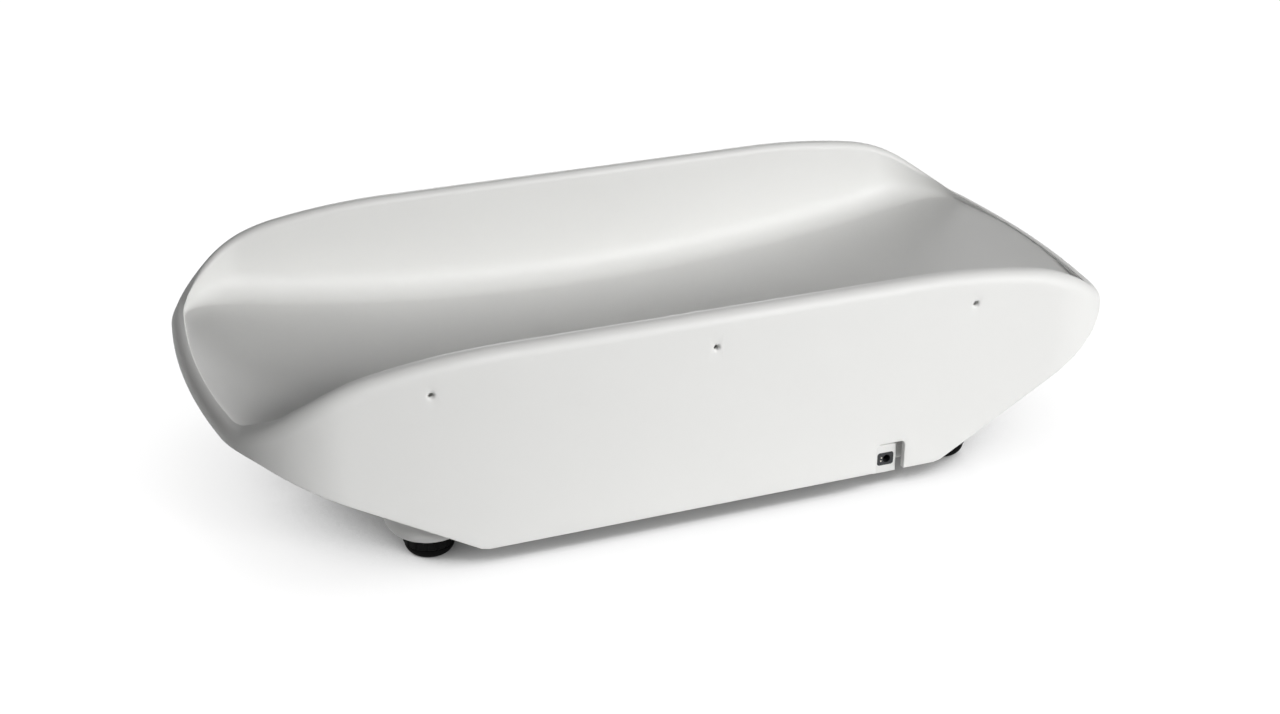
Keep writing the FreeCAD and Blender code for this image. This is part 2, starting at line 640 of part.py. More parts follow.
# --- base -----------------------------------------------------------------------------------------
def tub(inset, top):
    """Boat-shaped block that follows the slope of the skirts, smaller all round by an inset."""
    slope = math.radians(SKIRT_RISE)
    lift = BASE_BOTTOM + inset
    flat = flat_half - inset * math.tan(slope / 2)
    end = flat + (top - lift) / math.tan(slope)
    points = [Vector(-end, 0, top), Vector(-flat, 0, lift), Vector(flat, 0, lift), Vector(end, 0, top)]
    face = Part.Face(Part.makePolygon(points + points[:1]))
    half = base_half - inset
    face.translate(-Y * half)
    block = face.extrude(Y * 2 * half)
    low = [e for e in block.Edges if is_along(e, X) and e.CenterOfMass.z < lift + 1e-6]
    low += [e for e in block.Edges if not is_along(e, X) and not is_along(e, Y)]
    return block.makeFillet(max(BASE_EDGE_RADIUS - inset, 0.5), low)


def foot_boss(place, inset):
    """Bowl-shaped boss under the base's sloping end, or its hollow where it shrinks by an inset."""
    low, wide = boss_bottom + inset, BOSS_RADIUS - inset
    tip = BOSS_TIP_RADIUS - inset
    swell = wide - tip
    bulge = (swell ** 2 + BOSS_BOWL_HEIGHT ** 2) / (2 * swell)
    turn = math.asin(BOSS_BOWL_HEIGHT / bulge)
    centre = Vector(wide - bulge, 0, low + BOSS_BOWL_HEIGHT)
    bottom, middle, side = [centre + Vector(math.cos(a), 0, -math.sin(a)) * bulge
                            for a in (turn, turn / 2, 0)]
    high = Vector(wide, 0, base_top)
    edges = [Part.Arc(bottom, middle, side).toShape(),
             Part.LineSegment(side, high).toShape(),
             Part.LineSegment(high, Z * base_top).toShape(),
             Part.LineSegment(Z * base_top, Z * low).toShape(),
             Part.LineSegment(Z * low, bottom).toShape()]
    boss = Part.Face(Part.Wire(edges)).revolve(ORIGIN, Z, 360)
    boss.translate(place)
    return boss


def console_recess(grow):
    """Space in front of the set-back wall, or of that wall's inner face where it grows."""
    half = CONSOLE_WIDTH / 2 + GAP + grow
    return box(-half, half, -TRAY_WIDTH, front_wall + grow, 0, rim_height)


def base_shell():
    """Open tub with its foot bosses and the recess for the console, one wall thick."""
    outside = tub(0, base_top).fuse([foot_boss(p, 0) for p in foot_places]).cut(console_recess(0))
    inside = tub(BASE_WALL, base_top + 1).fuse([foot_boss(p, BASE_WALL) for p in foot_places])
    return outside.cut(inside.cut(console_recess(BASE_WALL)))


def base_housing():
    """Lower housing: shell, pillars, ribs, socket box and the wall behind the console."""
    bay = battery_bay()
    adds = [console_back(), socket_box(),
            box(bay["x0"] - FRAME_MARGIN, bay["x1"] + FRAME_MARGIN,
                bay["y0"] - FRAME_MARGIN, bay["y1"] + COVER_TRAVEL + FRAME_MARGIN,
                base_floor - 1, cover_ceiling() + BASE_WALL / 2)]
    adds += [rod(PILLAR_RADIUS, nut_top + BASE_WALL - boss_bottom, p + Z * boss_bottom)
             for p in foot_places]
    adds += [rod(CHASSIS_POST_RADIUS, CHASSIS_STANDOFF + 1, p + Z * (base_floor - 1))
             for p in chassis_screw_places()]
    adds += [rod(STOP_POST_RADIUS, stop_seat - base_floor + 1, p + Z * (base_floor - 1))
             for p in four(STOP_SPACING_X, STOP_SPACING_Y)]
    rib_half = base_half - BASE_WALL / 2
    rib_x = flat_half - RIB_INSET
    for x in (-rib_x, rib_x):
        adds.append(box(x - RIB_THICKNESS / 2, x + RIB_THICKNESS / 2, -rib_half, rib_half,
                        base_floor - 1, base_floor + RIB_HEIGHT))
    body = base_shell().fuse(adds)

    cuts = [jack_block(FIT, JACK_DEPTH + 1),
            box(bay["x0"], bay["x1"], bay["y0"], bay["y1"], BASE_BOTTOM - 1, base_floor + 10)]
    cuts += cover_rails()
    cuts += [rod(STUD_RADIUS + GAP, base_top, p) for p in foot_places]
    cuts += [rod(NUT_RADIUS, NUT_LENGTH, p + Z * nut_bottom) for p in foot_places]
    cuts += [rod(BASE_SCREW_RADIUS, CHASSIS_STANDOFF + BASE_WALL, p + Z * (base_floor - BASE_WALL * 0.6))
             for p in chassis_screw_places()]
    cuts += [rod(STOP_RADIUS, base_top, p + Z * (base_floor + STOP_THREAD_LIFT))
             for p in four(STOP_SPACING_X, STOP_SPACING_Y)]
    cuts += [rod(CELL_BOLT_RADIUS * 2, BASE_WALL * 3, p + Z * (BASE_BOTTOM - 1))
             for p in cell_bolt_places(-1)]
    cuts += [rod(FASCIA_SCREW_RADIUS + FIT, BASE_WALL + 2, p - Y, Y) for p in fascia_screw_places()]
    return body.cut(cuts).removeSplitter()


def console_back():
    """The base's front wall, raised behind the console."""
    half = CONSOLE_WIDTH / 2 - CONSOLE_GAP
    high = console_top - CONSOLE_WALL
    wall = box(-half, half, front_wall, front_wall + BASE_WALL, base_floor, high)
    upper = [e for e in wall.Edges if is_along(e, Y) and e.CenterOfMass.z > high - 1e-6]
    return wall.makeFillet(CONSOLE_CORNER, upper)


# --- power socket ---------------------------------------------------------------------------------
socket_face = TRAY_WIDTH / 2 - SOCKET_SETBACK
socket_bottom = BASE_BOTTOM - SOCKET_BOX_DROP
socket_centre = Vector(SOCKET_X, socket_face, socket_bottom + SOCKET_BOX_HEIGHT / 2)


def socket_box():
    half = SOCKET_BOX_WIDTH / 2
    block = box(SOCKET_X - half, SOCKET_X + half, socket_face - JACK_DEPTH - BASE_WALL, socket_face,
                socket_bottom, socket_bottom + SOCKET_BOX_HEIGHT)
    rear = [e for e in block.Edges if e.CenterOfMass.y > socket_face - 1e-6 or
            (is_along(e, X) and e.CenterOfMass.z < socket_bottom + 1e-6)]
    return block.makeFillet(1.2, rear)


def jack_block(grow, depth):
    plate = rounded_plate(JACK_WIDTH + 2 * grow, JACK_HEIGHT + 2 * grow, JACK_CORNER + grow, 0, depth)
    plate.rotate(ORIGIN, X, 90)
    plate.translate(socket_centre)
    return plate


def jack_hole_centre():
    return socket_centre - X * JACK_HOLE_OFFSET


def power_jack():
    """Low-voltage socket, flush with the face of its box."""
    body = jack_block(0, JACK_DEPTH)
    hole = rod(JACK_HOLE_RADIUS, JACK_HOLE_DEPTH, jack_hole_centre() - Y * JACK_HOLE_DEPTH, Y)
    slots = [rod(0.55, 2, p - Y * 2, Y) for p in jack_contact_places()]
    return body.cut([hole] + slots)


def jack_contact_places():
    middle = jack_hole_centre() + X * (JACK_HOLE_RADIUS + 0.9)
    return [middle + Z * 1.1, middle - Z * 1.1 + X * 0.4]


def jack_contacts():
    """Two round contact tips beside the hole."""
    return group([rod(0.5, 2.2, p - Y * 2, Y) for p in jack_contact_places()])


# --- batteries ------------------------------------------------------------------------------------
def battery_bay():
    """Inside of the battery compartment, in plan."""
    half_x = CELLS_AA * (CELL_AA_RADIUS + FIT) + FIT
    half_y = CELL_AA_LENGTH / 2 + CONTACT_THICKNESS + 2 * FIT
    return {"x0": -half_x, "x1": half_x, "y0": BATTERY_Y - half_y, "y1": BATTERY_Y + half_y}


def cover_ceiling():
    """Top of the recess that the cover slides in."""
    return BASE_BOTTOM + COVER_THICKNESS + FIT


def cover_plates(grow, travel, z0, z_step, z1):
    """The cover's wide tongue over its narrower plate; the rails are the same, larger and longer."""
    bay = battery_bay()
    wide = COVER_MARGIN + grow
    slim = COVER_MARGIN - COVER_TONGUE + grow
    y0, y1 = bay["y0"] - COVER_MARGIN - grow, bay["y1"] + COVER_MARGIN + grow + travel
    return [box(bay["x0"] - slim, bay["x1"] + slim, y0, y1, z0, z_step),
            box(bay["x0"] - wide, bay["x1"] + wide, y0, y1, z_step, z1)]


def cover_rails():
    step = BASE_BOTTOM + COVER_THICKNESS / 2
    return cover_plates(FIT, COVER_TRAVEL, BASE_BOTTOM - 1, step - FIT, cover_ceiling())


def battery_cover():
    """Sliding lid in the underside, with a ribbed thumb grip."""
    step = BASE_BOTTOM + COVER_THICKNESS / 2
    lid = fused(cover_plates(0, 0, BASE_BOTTOM, step, BASE_BOTTOM + COVER_THICKNESS))
    bay = battery_bay()
    grooves = []
    for i in range(GRIP_GROOVES):
        y = bay["y1"] - GRIP_PITCH * i
        grooves.append(box(-GRIP_HALF, GRIP_HALF, y, y + GRIP_WIDTH,
                           BASE_BOTTOM - 1, BASE_BOTTOM + GRIP_DEPTH))
    return lid.cut(grooves)


def battery_holder():
    """Upside-down tray over the cells, standing on the base floor."""
    bay = battery_bay()
    t = BATTERY_WALL
    low = cover_ceiling() + BASE_WALL / 2
    high = cell_height() + CELL_AA_RADIUS + FIT
    outer = box(bay["x0"] - t, bay["x1"] + t, bay["y0"] - t, bay["y1"] + t, low, high + t)
    upright = [e for e in outer.Edges if is_along(e, Z)]
    outer = outer.makeFillet(2, upright)
    inner = box(bay["x0"], bay["x1"], bay["y0"], bay["y1"], low - 1, high)
    return outer.cut(inner)


def cell_height():
    """Height of the battery axes: the cells rest on the cover."""
    return BASE_BOTTOM + COVER_THICKNESS + FIT + CELL_AA_RADIUS


def cell_places():
    pitch = 2 * (CELL_AA_RADIUS + FIT)
    return [(i - (CELLS_AA - 1) / 2) * pitch for i in range(CELLS_AA)]


def batteries():
    """AA cells side by side, turned end for end in turn."""
    cells = []
    for i, x in enumerate(cell_places()):
        way = 1 if i % 2 else -1
        foot = Vector(x, BATTERY_Y - way * CELL_AA_LENGTH / 2, cell_height())
        can = rod(CELL_AA_RADIUS, CELL_AA_LENGTH - 1.2, foot, Y * way)
        tip = rod(2.6, 1.2, foot + Y * way * (CELL_AA_LENGTH - 1.2), Y * way)
        cells.append(can.fuse(tip).removeSplitter())
    return group(cells)


def battery_contacts():
    """Spring-steel strips at both ends, each bridging two cells."""
    bay = battery_bay()
    places = cell_places()
    half = CONTACT_HALF
    near, far = bay["y0"] + FIT, bay["y1"] - FIT - CONTACT_THICKNESS
    runs = [(i, i + 1, near) for i in range(0, CELLS_AA - 1, 2)]
    runs += [(i, i + 1, far) for i in range(1, CELLS_AA - 1, 2)]
    runs += [(0, 0, far), (CELLS_AA - 1, CELLS_AA - 1, far)]
    return group([box(places[a] - half, places[b] + half, y, y + CONTACT_THICKNESS,
                      cell_height() - half, cell_height() + half) for a, b, y in runs])


# --- console --------------------------------------------------------------------------------------
def on_console(shape):
    """Moves a shape from the console's face frame into place: x along, y up the face, z outwards."""
    lean = math.radians(CONSOLE_TILT)
    s, c = math.sin(lean), math.cos(lean)
    shape = shape.copy()
    shape.transformShape(Matrix(1, 0, 0, 0,
                                0, s, -c, face_foot,
                                0, c, s, console_bottom,
                                0, 0, 0, 1))
    return shape


face_middle = CONSOLE_HEIGHT / 2


def face_plate(width, height, corner, z0, z1, x=0.0, y=None):
    plate = rounded_plate(width, height, corner, z0, z1)
    plate.translate(Vector(x, face_middle if y is None else y, 0))
    return plate


def key_places():
    return {"power_key": -KEY_OUTER_X, "unit_key": -KEY_INNER_X,
            "hold_key": KEY_INNER_X, "tare_key": KEY_OUTER_X}


def stadium(width, height, z0, z1, x):
    return face_plate(width, height, min(width, height) / 2 - 0.01, z0, z1, x)


def board_screw_places():
    inset = 2 * BOARD_SCREW_INSET
    return [Vector(p.x, p.y + face_middle, 0) for p in four(BOARD_WIDTH - inset, BOARD_HEIGHT - inset)]


def fascia_screw_places():
    """Screw axes through the base's front wall into the console."""
    low = BASE_BOTTOM + FASCIA_SCREW_LOW
    reach = CONSOLE_WIDTH / 2 - FASCIA_SCREW_INSET
    return [Vector(sx * reach, front_wall, low + row * FASCIA_SCREW_Z)
            for sx in (-1, 1) for row in (0, 1)]


def console_fascia():
    """Tilted front of the console, open at the back where it meets the base."""
    deep = front_wall - face_foot + CONSOLE_HEIGHT * math.sin(math.radians(CONSOLE_TILT))
    outer = face_plate(CONSOLE_WIDTH, CONSOLE_HEIGHT, CONSOLE_CORNER, -deep, 0)
    front = [e for e in outer.Edges if e.CenterOfMass.z > -1e-6]
    outer = outer.makeFillet(1.5, front)
    inner = face_plate(CONSOLE_WIDTH - 2 * CONSOLE_WALL, CONSOLE_HEIGHT - 2 * CONSOLE_WALL,
                       CONSOLE_CORNER - CONSOLE_WALL, -deep - 1, -CONSOLE_WALL)
    shell = outer.cut(inner)
    posts = [rod(BOARD_POST_RADIUS, BOARD_SETBACK - CONSOLE_WALL / 2, p - Z * BOARD_SETBACK)
             for p in board_screw_places()]
    shell = shell.fuse(posts)
    cuts = [rod(BOARD_SCREW_RADIUS, BOARD_SETBACK - CONSOLE_WALL, p - Z * (BOARD_SETBACK + 1))
            for p in board_screw_places()]
    cuts.append(face_plate(LENS_WIDTH + 2 * FIT, LENS_HEIGHT + 2 * FIT, LENS_CORNER + FIT,
                           -LENS_THICKNESS, 1))
    cuts.append(face_plate(LENS_WIDTH - 2 * LENS_LEDGE, LENS_HEIGHT - 2 * LENS_LEDGE, LENS_CORNER / 2,
                           -CONSOLE_WALL - 1, 1))
    for x in key_places().values():
        cuts.append(stadium(KEY_WIDTH + 2 * GAP, KEY_HEIGHT + 2 * GAP, -CONSOLE_WALL - 1, 1, x))
    shell = on_console(shell.cut(cuts))

    seats = [rod(FASCIA_POST_RADIUS, deep, p, -Y) for p in fascia_screw_places()]
    hull = on_console(outer)
    shell = shell.fuse([s.common(hull) for s in seats])
    shell = shell.cut([rod(FASCIA_SCREW_RADIUS, 6, p + Y, -Y) for p in fascia_screw_places()])
    ahead = box(-CONSOLE_WIDTH, CONSOLE_WIDTH, -TRAY_WIDTH, front_wall, 0, rim_height)
    return shell.common(ahead)


def fascia_screws():
    return group([head_screw(FASCIA_SCREW_RADIUS, BASE_WALL + 4.5, p + Y * BASE_WALL, -Y)
                  for p in fascia_screw_places()])


def display_lens():
    return on_console(face_plate(LENS_WIDTH, LENS_HEIGHT, LENS_CORNER, -LENS_THICKNESS, 0))


def lcd_module():
    """Liquid-crystal glass on its backlight, soldered to the board."""
    glass = face_plate(LCD_WIDTH - 4, LCD_HEIGHT - 3, 0.5, -BOARD_SETBACK + LCD_THICKNESS / 2,
                       -BOARD_SETBACK + LCD_THICKNESS)
    light = face_plate(LCD_WIDTH, LCD_HEIGHT, 1, -BOARD_SETBACK, -BOARD_SETBACK + LCD_THICKNESS / 2)
    return on_console(glass.fuse(light))


def main_board():
    back = -BOARD_SETBACK - BOARD_THICKNESS
    board = face_plate(BOARD_WIDTH, BOARD_HEIGHT, 2, back, -BOARD_SETBACK)
    cuts = [rod(BOARD_SCREW_RADIUS + FIT, BOARD_THICKNESS, p + Z * back) for p in board_screw_places()]
    return on_console(board.cut(cuts))


def board_screws():
    back = -BOARD_SETBACK - BOARD_THICKNESS
    screws = []
    for p in board_screw_places():
        shank = rod(BOARD_SCREW_RADIUS, BOARD_THICKNESS + 3.5, p + Z * back)
        head = rod(BOARD_SCREW_RADIUS * 1.8, 1.0, p + Z * (back - 1.0))
        screws.append(shank.fuse(head).removeSplitter())
    return on_console(group(screws))


def key_mat():
    """Silicone mat with a dome under each key and a window around the display."""
    low = -BOARD_SETBACK
    mat = face_plate(2 * KEY_OUTER_X + KEY_WIDTH, BOARD_HEIGHT, 2, low, low + MAT_THICKNESS)
    domes = [Part.makeCone(3.4, 2.4, MAT_DOME, Vector(x, face_middle, low + MAT_THICKNESS))
             for x in key_places().values()]
    mat = mat.fuse(domes)
    window = face_plate(LCD_WIDTH + 2, LCD_HEIGHT + 2, 1, low - 1, low + 5)
    return on_console(mat.cut(window))


def key(x):
    """Moulded key: domed cap, flange behind the fascia, short plunger."""
    cap = stadium(KEY_WIDTH, KEY_HEIGHT, -CONSOLE_WALL - GAP, KEY_PROUD, x)
    crown = [e for e in cap.Edges if e.CenterOfMass.z > KEY_PROUD - 1e-6]
    cap = cap.makeFillet(0.8, crown)
    seat = -CONSOLE_WALL - GAP
    flange = stadium(KEY_WIDTH + 2 * KEY_FLANGE, KEY_HEIGHT + 2 * KEY_FLANGE,
                     seat - KEY_FLANGE_THICKNESS, seat, x)
    tip = -BOARD_SETBACK + MAT_THICKNESS + MAT_DOME + KEY_TRAVEL + FIT
    plunger = rod(2.2, seat - tip, Vector(x, face_middle, tip))
    return on_console(fused([cap, flange, plunger]))


# --- feet -----------------------------------------------------------------------------------------
def foot_sole(place):
    """Rubber sole: flat tread with a ring groove, domed side, a socket for the wheel's spigot."""
    tread, top = Vector(SOLE_TREAD_RADIUS, 0, 0), Vector(SOLE_RADIUS, 0, SOLE_HEIGHT)
    bulge = Vector(SOLE_TREAD_RADIUS + (SOLE_RADIUS - SOLE_TREAD_RADIUS) * 0.72, 0, SOLE_HEIGHT * 0.42)
    edges = [Part.LineSegment(ORIGIN, tread).toShape(), Part.Arc(tread, bulge, top).toShape(),
             Part.LineSegment(top, Z * SOLE_HEIGHT).toShape(),
             Part.LineSegment(Z * SOLE_HEIGHT, ORIGIN).toShape()]
    sole = Part.Face(Part.Wire(edges)).revolve(ORIGIN, Z, 360)
    depth = SPIGOT_DEPTH
    groove = rod(SOLE_GROOVE_RADIUS + SOLE_GROOVE_WIDTH / 2, SOLE_GROOVE_DEPTH, ORIGIN)
    groove = groove.cut(rod(SOLE_GROOVE_RADIUS - SOLE_GROOVE_WIDTH / 2, SOLE_GROOVE_DEPTH, ORIGIN))
    sole = sole.cut([groove, rod(SPIGOT_RADIUS + RUNNING, depth, Z * (SOLE_HEIGHT - depth))])
    sole.translate(place)
    return sole


def foot_wheel(place):
    """Fluted levelling wheel with its threaded stud and the spigot that turns in the sole."""
    low = SOLE_HEIGHT + GAP
    wheel = rod(WHEEL_RADIUS, WHEEL_HEIGHT, Z * low)
    wheel = wheel.makeChamfer(0.6, [e for e in wheel.Edges if len(e.Vertexes) == 1])
    flutes = []
    for i in range(WHEEL_FLUTES):
        turn = 2 * math.pi * i / WHEEL_FLUTES
        out = Vector(math.cos(turn), math.sin(turn), 0) * (WHEEL_RADIUS + FLUTE_RADIUS * 0.4)
        flutes.append(rod(FLUTE_RADIUS, WHEEL_HEIGHT, out + Z * low))
    wheel = wheel.cut(flutes)
    stud = rod(STUD_RADIUS, STUD_LENGTH, Z * (low + WHEEL_HEIGHT))
    spigot = rod(SPIGOT_RADIUS, SPIGOT_DEPTH, Z * (low - SPIGOT_DEPTH))
    whole = fused([wheel, stud, spigot])
    whole.translate(place)
    return whole


def foot_nuts():
    """Brass inserts in the foot bosses."""
    nuts = []
    for p in foot_places:
        ring = rod(NUT_RADIUS, NUT_LENGTH, p + Z * nut_bottom)
        nuts.append(ring.cut(rod(STUD_RADIUS + RUNNING, NUT_LENGTH, p + Z * nut_bottom)))
    return group(nuts)


# --- all pieces -----------------------------------------------------------------------------------
def pieces():
    made = {
        "tray_shell": tray_shell(),
        "tray_carrier": tray_carrier(),
        "carrier_screws": carrier_screws(),
        "upper_spacer": upper_spacer(),
        "cell_top_bolts": cell_top_bolts(),
        "load_cell": load_cell(),
        "lower_spacer": lower_spacer(),
        "cell_base_bolts": cell_base_bolts(),
        "base_chassis": base_chassis(),
        "chassis_screws": chassis_screws(),
        "overload_stops": overload_stops(),
        "base_housing": base_housing(),
        "power_jack": power_jack(),
        "jack_contacts": jack_contacts(),
        "battery_holder": battery_holder(),
        "batteries": batteries(),
        "battery_contacts": battery_contacts(),
        "battery_cover": battery_cover(),
        "console_fascia": console_fascia(),
        "fascia_screws": fascia_screws(),
        "display_lens": display_lens(),
        "lcd_module": lcd_module(),
        "main_board": main_board(),
        "board_screws": board_screws(),
        "key_mat": key_mat(),
        "foot_nuts": foot_nuts(),
    }
    for name, x in key_places().items():
        made[name] = key(x)
    for name, place in zip(foot_names, foot_places):
        made[name + "_sole"] = foot_sole(place)
        made[name + "_wheel"] = foot_wheel(place)
    return made


os.makedirs("parts", exist_ok=True)
for node, shape in pieces().items():
    shape.exportStep("parts/" + node + ".step")
    print(node, len(shape.Solids), round(shape.Volume), shape.isValid())
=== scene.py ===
"""Looks of a digital baby weighing scale: a boat-shaped ABS tray over a low base with levelling feet.

Metres, Z up, X along the tray, +Y the rear with the power socket, the origin on the floor under the
middle of the tray. Lengths of the shapes are written in millimetres and times MM in the mesh.
"""
import json
import math

import bmesh
import bpy
import numpy as np
from mathutils import Matrix, Vector


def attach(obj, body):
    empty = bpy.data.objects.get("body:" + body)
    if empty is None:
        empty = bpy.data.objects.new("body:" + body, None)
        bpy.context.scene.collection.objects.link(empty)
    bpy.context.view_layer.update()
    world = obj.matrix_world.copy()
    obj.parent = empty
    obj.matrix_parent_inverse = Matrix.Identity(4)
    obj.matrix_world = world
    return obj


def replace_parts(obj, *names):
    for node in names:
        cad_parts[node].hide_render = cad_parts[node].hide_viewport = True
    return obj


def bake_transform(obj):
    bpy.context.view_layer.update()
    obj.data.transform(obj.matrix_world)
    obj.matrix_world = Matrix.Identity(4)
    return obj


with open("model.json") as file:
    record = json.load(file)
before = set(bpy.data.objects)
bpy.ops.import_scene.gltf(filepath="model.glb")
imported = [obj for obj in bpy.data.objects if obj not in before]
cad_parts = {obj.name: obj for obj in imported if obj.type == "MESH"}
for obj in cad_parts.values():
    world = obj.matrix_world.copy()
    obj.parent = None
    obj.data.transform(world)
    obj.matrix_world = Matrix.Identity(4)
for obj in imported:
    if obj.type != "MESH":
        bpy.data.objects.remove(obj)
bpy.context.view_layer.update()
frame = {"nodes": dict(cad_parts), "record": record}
nodes = frame["nodes"]
MM = 0.001


# --- colours and shader nodes ---------------------------------------------------------------------------
DRIFT_SCALE, DRIFT_TONE = 9.0, 0.02     # waves per metre of the slow drift, share by which it darkens
DRIFT_LOW, DRIFT_HIGH = 0.3, 0.7        # part of the drift over which the roughness wanders


def colour(code):
    """Linear RGBA of an sRGB hex code."""
    channels = [int(code[i:i + 2], 16) / 255 for i in (1, 3, 5)]
    linear = [c / 12.92 if c <= 0.04045 else ((c + 0.055) / 1.055) ** 2.4 for c in channels]
    return (*linear, 1.0)


def add(material, kind, settings=None, **sockets):
    """Adds one node. Settings are its attributes; a socket takes a value or another node's output.

    A socket goes by its name with _ for each space, or by _ and its number."""
    tree = material.node_tree
    node = tree.nodes.new(kind)
    for name, value in (settings or {}).items():
        setattr(node, name, value)
    for name, value in sockets.items():
        key = int(name[1:]) if name[0] == "_" else name.replace("_", " ")
        if isinstance(value, bpy.types.NodeSocket):
            tree.links.new(value, node.inputs[key])
        else:
            node.inputs[key].default_value = value
    return node


def blank_material(name):
    """Material without any node yet."""
    material = bpy.data.materials.new(name)
    material.use_nodes = True
    material.node_tree.nodes.clear()
    return material


def finish_of(name, code, rough, wander, grain, depth, **own):
    """Moulded, cast or machined finish: a faint tone drift, roughness that wanders, and a fine grain.

    The roughness is rough plus or minus wander. grain is the size of one grain in millimetres and
    depth how far it stands out. own holds the shader's sockets that are the same all over."""
    material = blank_material(name)
    base = colour(code)
    dark = (*(c * (1 - DRIFT_TONE) for c in base[:3]), 1.0)
    place = add(material, "ShaderNodeTexCoord").outputs["Object"]
    drift = add(material, "ShaderNodeTexNoise", Vector=place, Scale=DRIFT_SCALE, Detail=3.0).outputs["Fac"]
    fine = add(material, "ShaderNodeTexNoise", Vector=place, Scale=1 / (grain * MM), Detail=2.0).outputs["Fac"]
    tint = add(material, "ShaderNodeMix", {"data_type": "RGBA"}, _0=drift, _6=dark, _7=base).outputs[2]
    roughness = add(material, "ShaderNodeMapRange", {"interpolation_type": "SMOOTHSTEP"}, Value=drift,
                    From_Min=DRIFT_LOW, From_Max=DRIFT_HIGH, To_Min=rough - wander,
                    To_Max=rough + wander).outputs["Result"]
    bump = add(material, "ShaderNodeBump", Height=fine, Strength=1.0, Distance=depth * MM)
    shader = add(material, "ShaderNodeBsdfPrincipled", Base_Color=tint, Roughness=roughness,
                 Normal=bump.outputs["Normal"], **own)
    add(material, "ShaderNodeOutputMaterial", Surface=shader.outputs["BSDF"])
    return material


# --- materials: name, colour, roughness, its wander, grain, its depth --------------------------------------
# Injection-moulded ABS, satin: almost white, soft broad highlights, hardly any grain.
satin_abs = finish_of("satin_abs", "#F3F3F1", 0.52, 0.03, 0.9, 0.004, IOR=1.5)
# The same ABS from a spark-eroded mould: duller, with a grain that is felt more than seen.
textured_abs = finish_of("textured_abs", "#E9E9E7", 0.58, 0.04, 0.7, 0.03, IOR=1.54)
# Nitrile rubber: near-black and dull, with hardly any gloss.
nitrile_rubber = finish_of("nitrile_rubber", "#060606", 0.8, 0.06, 0.5, 0.02, IOR=1.35,
                           Specular_IOR_Level=0.12)
# Glass-filled nylon: black, a little less dull than rubber, fine fibre grain.
black_nylon = finish_of("black_nylon", "#090909", 0.62, 0.05, 0.6, 0.02, IOR=1.4, Specular_IOR_Level=0.12)
# Moulded PBT of a power socket: charcoal, semi-matt.
charcoal_pbt = finish_of("charcoal_pbt", "#2C2D2F", 0.5, 0.04, 0.5, 0.01, IOR=1.45)
# Nickel-plated spring steel: bright and smooth.
nickel = finish_of("nickel", "#E3DFD6", 0.22, 0.04, 0.8, 0.002, Metallic=1.0)
# Zinc-plated steel: grey with a faint bluish cast and a mottled roughness.
zinc_plate = finish_of("zinc_plate", "#B9BEC4", 0.38, 0.1, 1.5, 0.01, Metallic=1.0)
# Milled aluminium: pale and satin.
milled_aluminium = finish_of("milled_aluminium", "#D0D2D4", 0.34, 0.06, 0.6, 0.01, Metallic=1.0)
# Turned brass: warm and fairly smooth.
turned_brass = finish_of("turned_brass", "#D9B56A", 0.28, 0.05, 0.6, 0.01, Metallic=1.0)
# Silicone rubber: milky grey, soft highlights.
silicone = finish_of("silicone", "#C4C8C8", 0.5, 0.05, 0.8, 0.01, IOR=1.41)
# Epoxy glass board under green solder mask: glossy over a slightly uneven ground.
solder_mask = finish_of("solder_mask", "#1B5B35", 0.3, 0.05, 1.0, 0.01, IOR=1.5, Coat_Weight=0.3)
# Polyester sleeve of a battery: smooth and glossy.
battery_sleeve = finish_of("battery_sleeve", "#4C545B", 0.26, 0.03, 1.0, 0.003, IOR=1.5, Coat_Weight=0.4)
# Keys: ABS in blue-grey, satin.
key_abs = finish_of("key_abs", "#6E7F8D", 0.4, 0.04, 0.6, 0.01, IOR=1.54)
# Reflective polariser of a liquid-crystal display: pale green-grey, silky.
lcd_glass = finish_of("lcd_glass", "#AEB8A2", 0.3, 0.02, 0.5, 0.004, IOR=1.5, Coat_Weight=0.5)
# Clear polycarbonate window: polished, without grain.
clear_window = finish_of("clear_window", "#F2F6F6", 0.012, 0.004, 20.0, 0.0, IOR=1.58,
                         Transmission_Weight=0.92)
# Dark state of the liquid crystal: grey-black with a green cast, silky like its glass.
lcd_segment = finish_of("lcd_segment", "#1E2422", 0.32, 0.02, 0.5, 0.002, IOR=1.5)
# Pad-printed two-part ink: opaque white, a little duller than the key under it.
pad_ink = finish_of("pad_ink", "#ECEEEE", 0.55, 0.04, 0.4, 0.004, IOR=1.48)

FINISHES = {
    "tray_white": satin_abs, "console_white": satin_abs, "base_white": textured_abs,
    "aluminium": milled_aluminium, "steel": zinc_plate, "brass": turned_brass, "contact_metal": nickel,
    "black_plastic": black_nylon, "rubber": nitrile_rubber, "silicone": silicone,
    "circuit_board": solder_mask, "clear_lens": clear_window, "lcd": lcd_glass,
    "battery_can": battery_sleeve, "key_grey": key_abs,
}


def dress(piece, material):
    """Gives a piece one material in place of those it has."""
    piece.data.materials.clear()
    piece.data.materials.append(material)


for part in frame["record"]["subparts"]:
    dress(nodes[part["node"]], FINISHES[part["material_slot"]])
dress(nodes["power_jack"], charcoal_pbt)


# --- tools for surfaces ---------------------------------------------------------------------------------
MERGE, SLIVER = 1e-6, 1e-7              # metres: points this close are one, faces this thin are none
SHARP = 0.9                             # radians between two faces from which a cut edge is rounded
ARC_POINTS = 9                          # points along a quarter circle of a notch


def put(name, data):
    """New object that shows the data."""
    thing = bpy.data.objects.new(name, data)
    bpy.context.scene.collection.objects.link(thing)
    return thing


def piece_from(name, mesh, material, body, smooth=True):
    """New piece that rides on a body and has the given material."""
    mesh.polygons.foreach_set("use_smooth", np.full(len(mesh.polygons), smooth))
    mesh.materials.append(material)
    piece = put(name, mesh)
    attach(piece, body)
    return piece


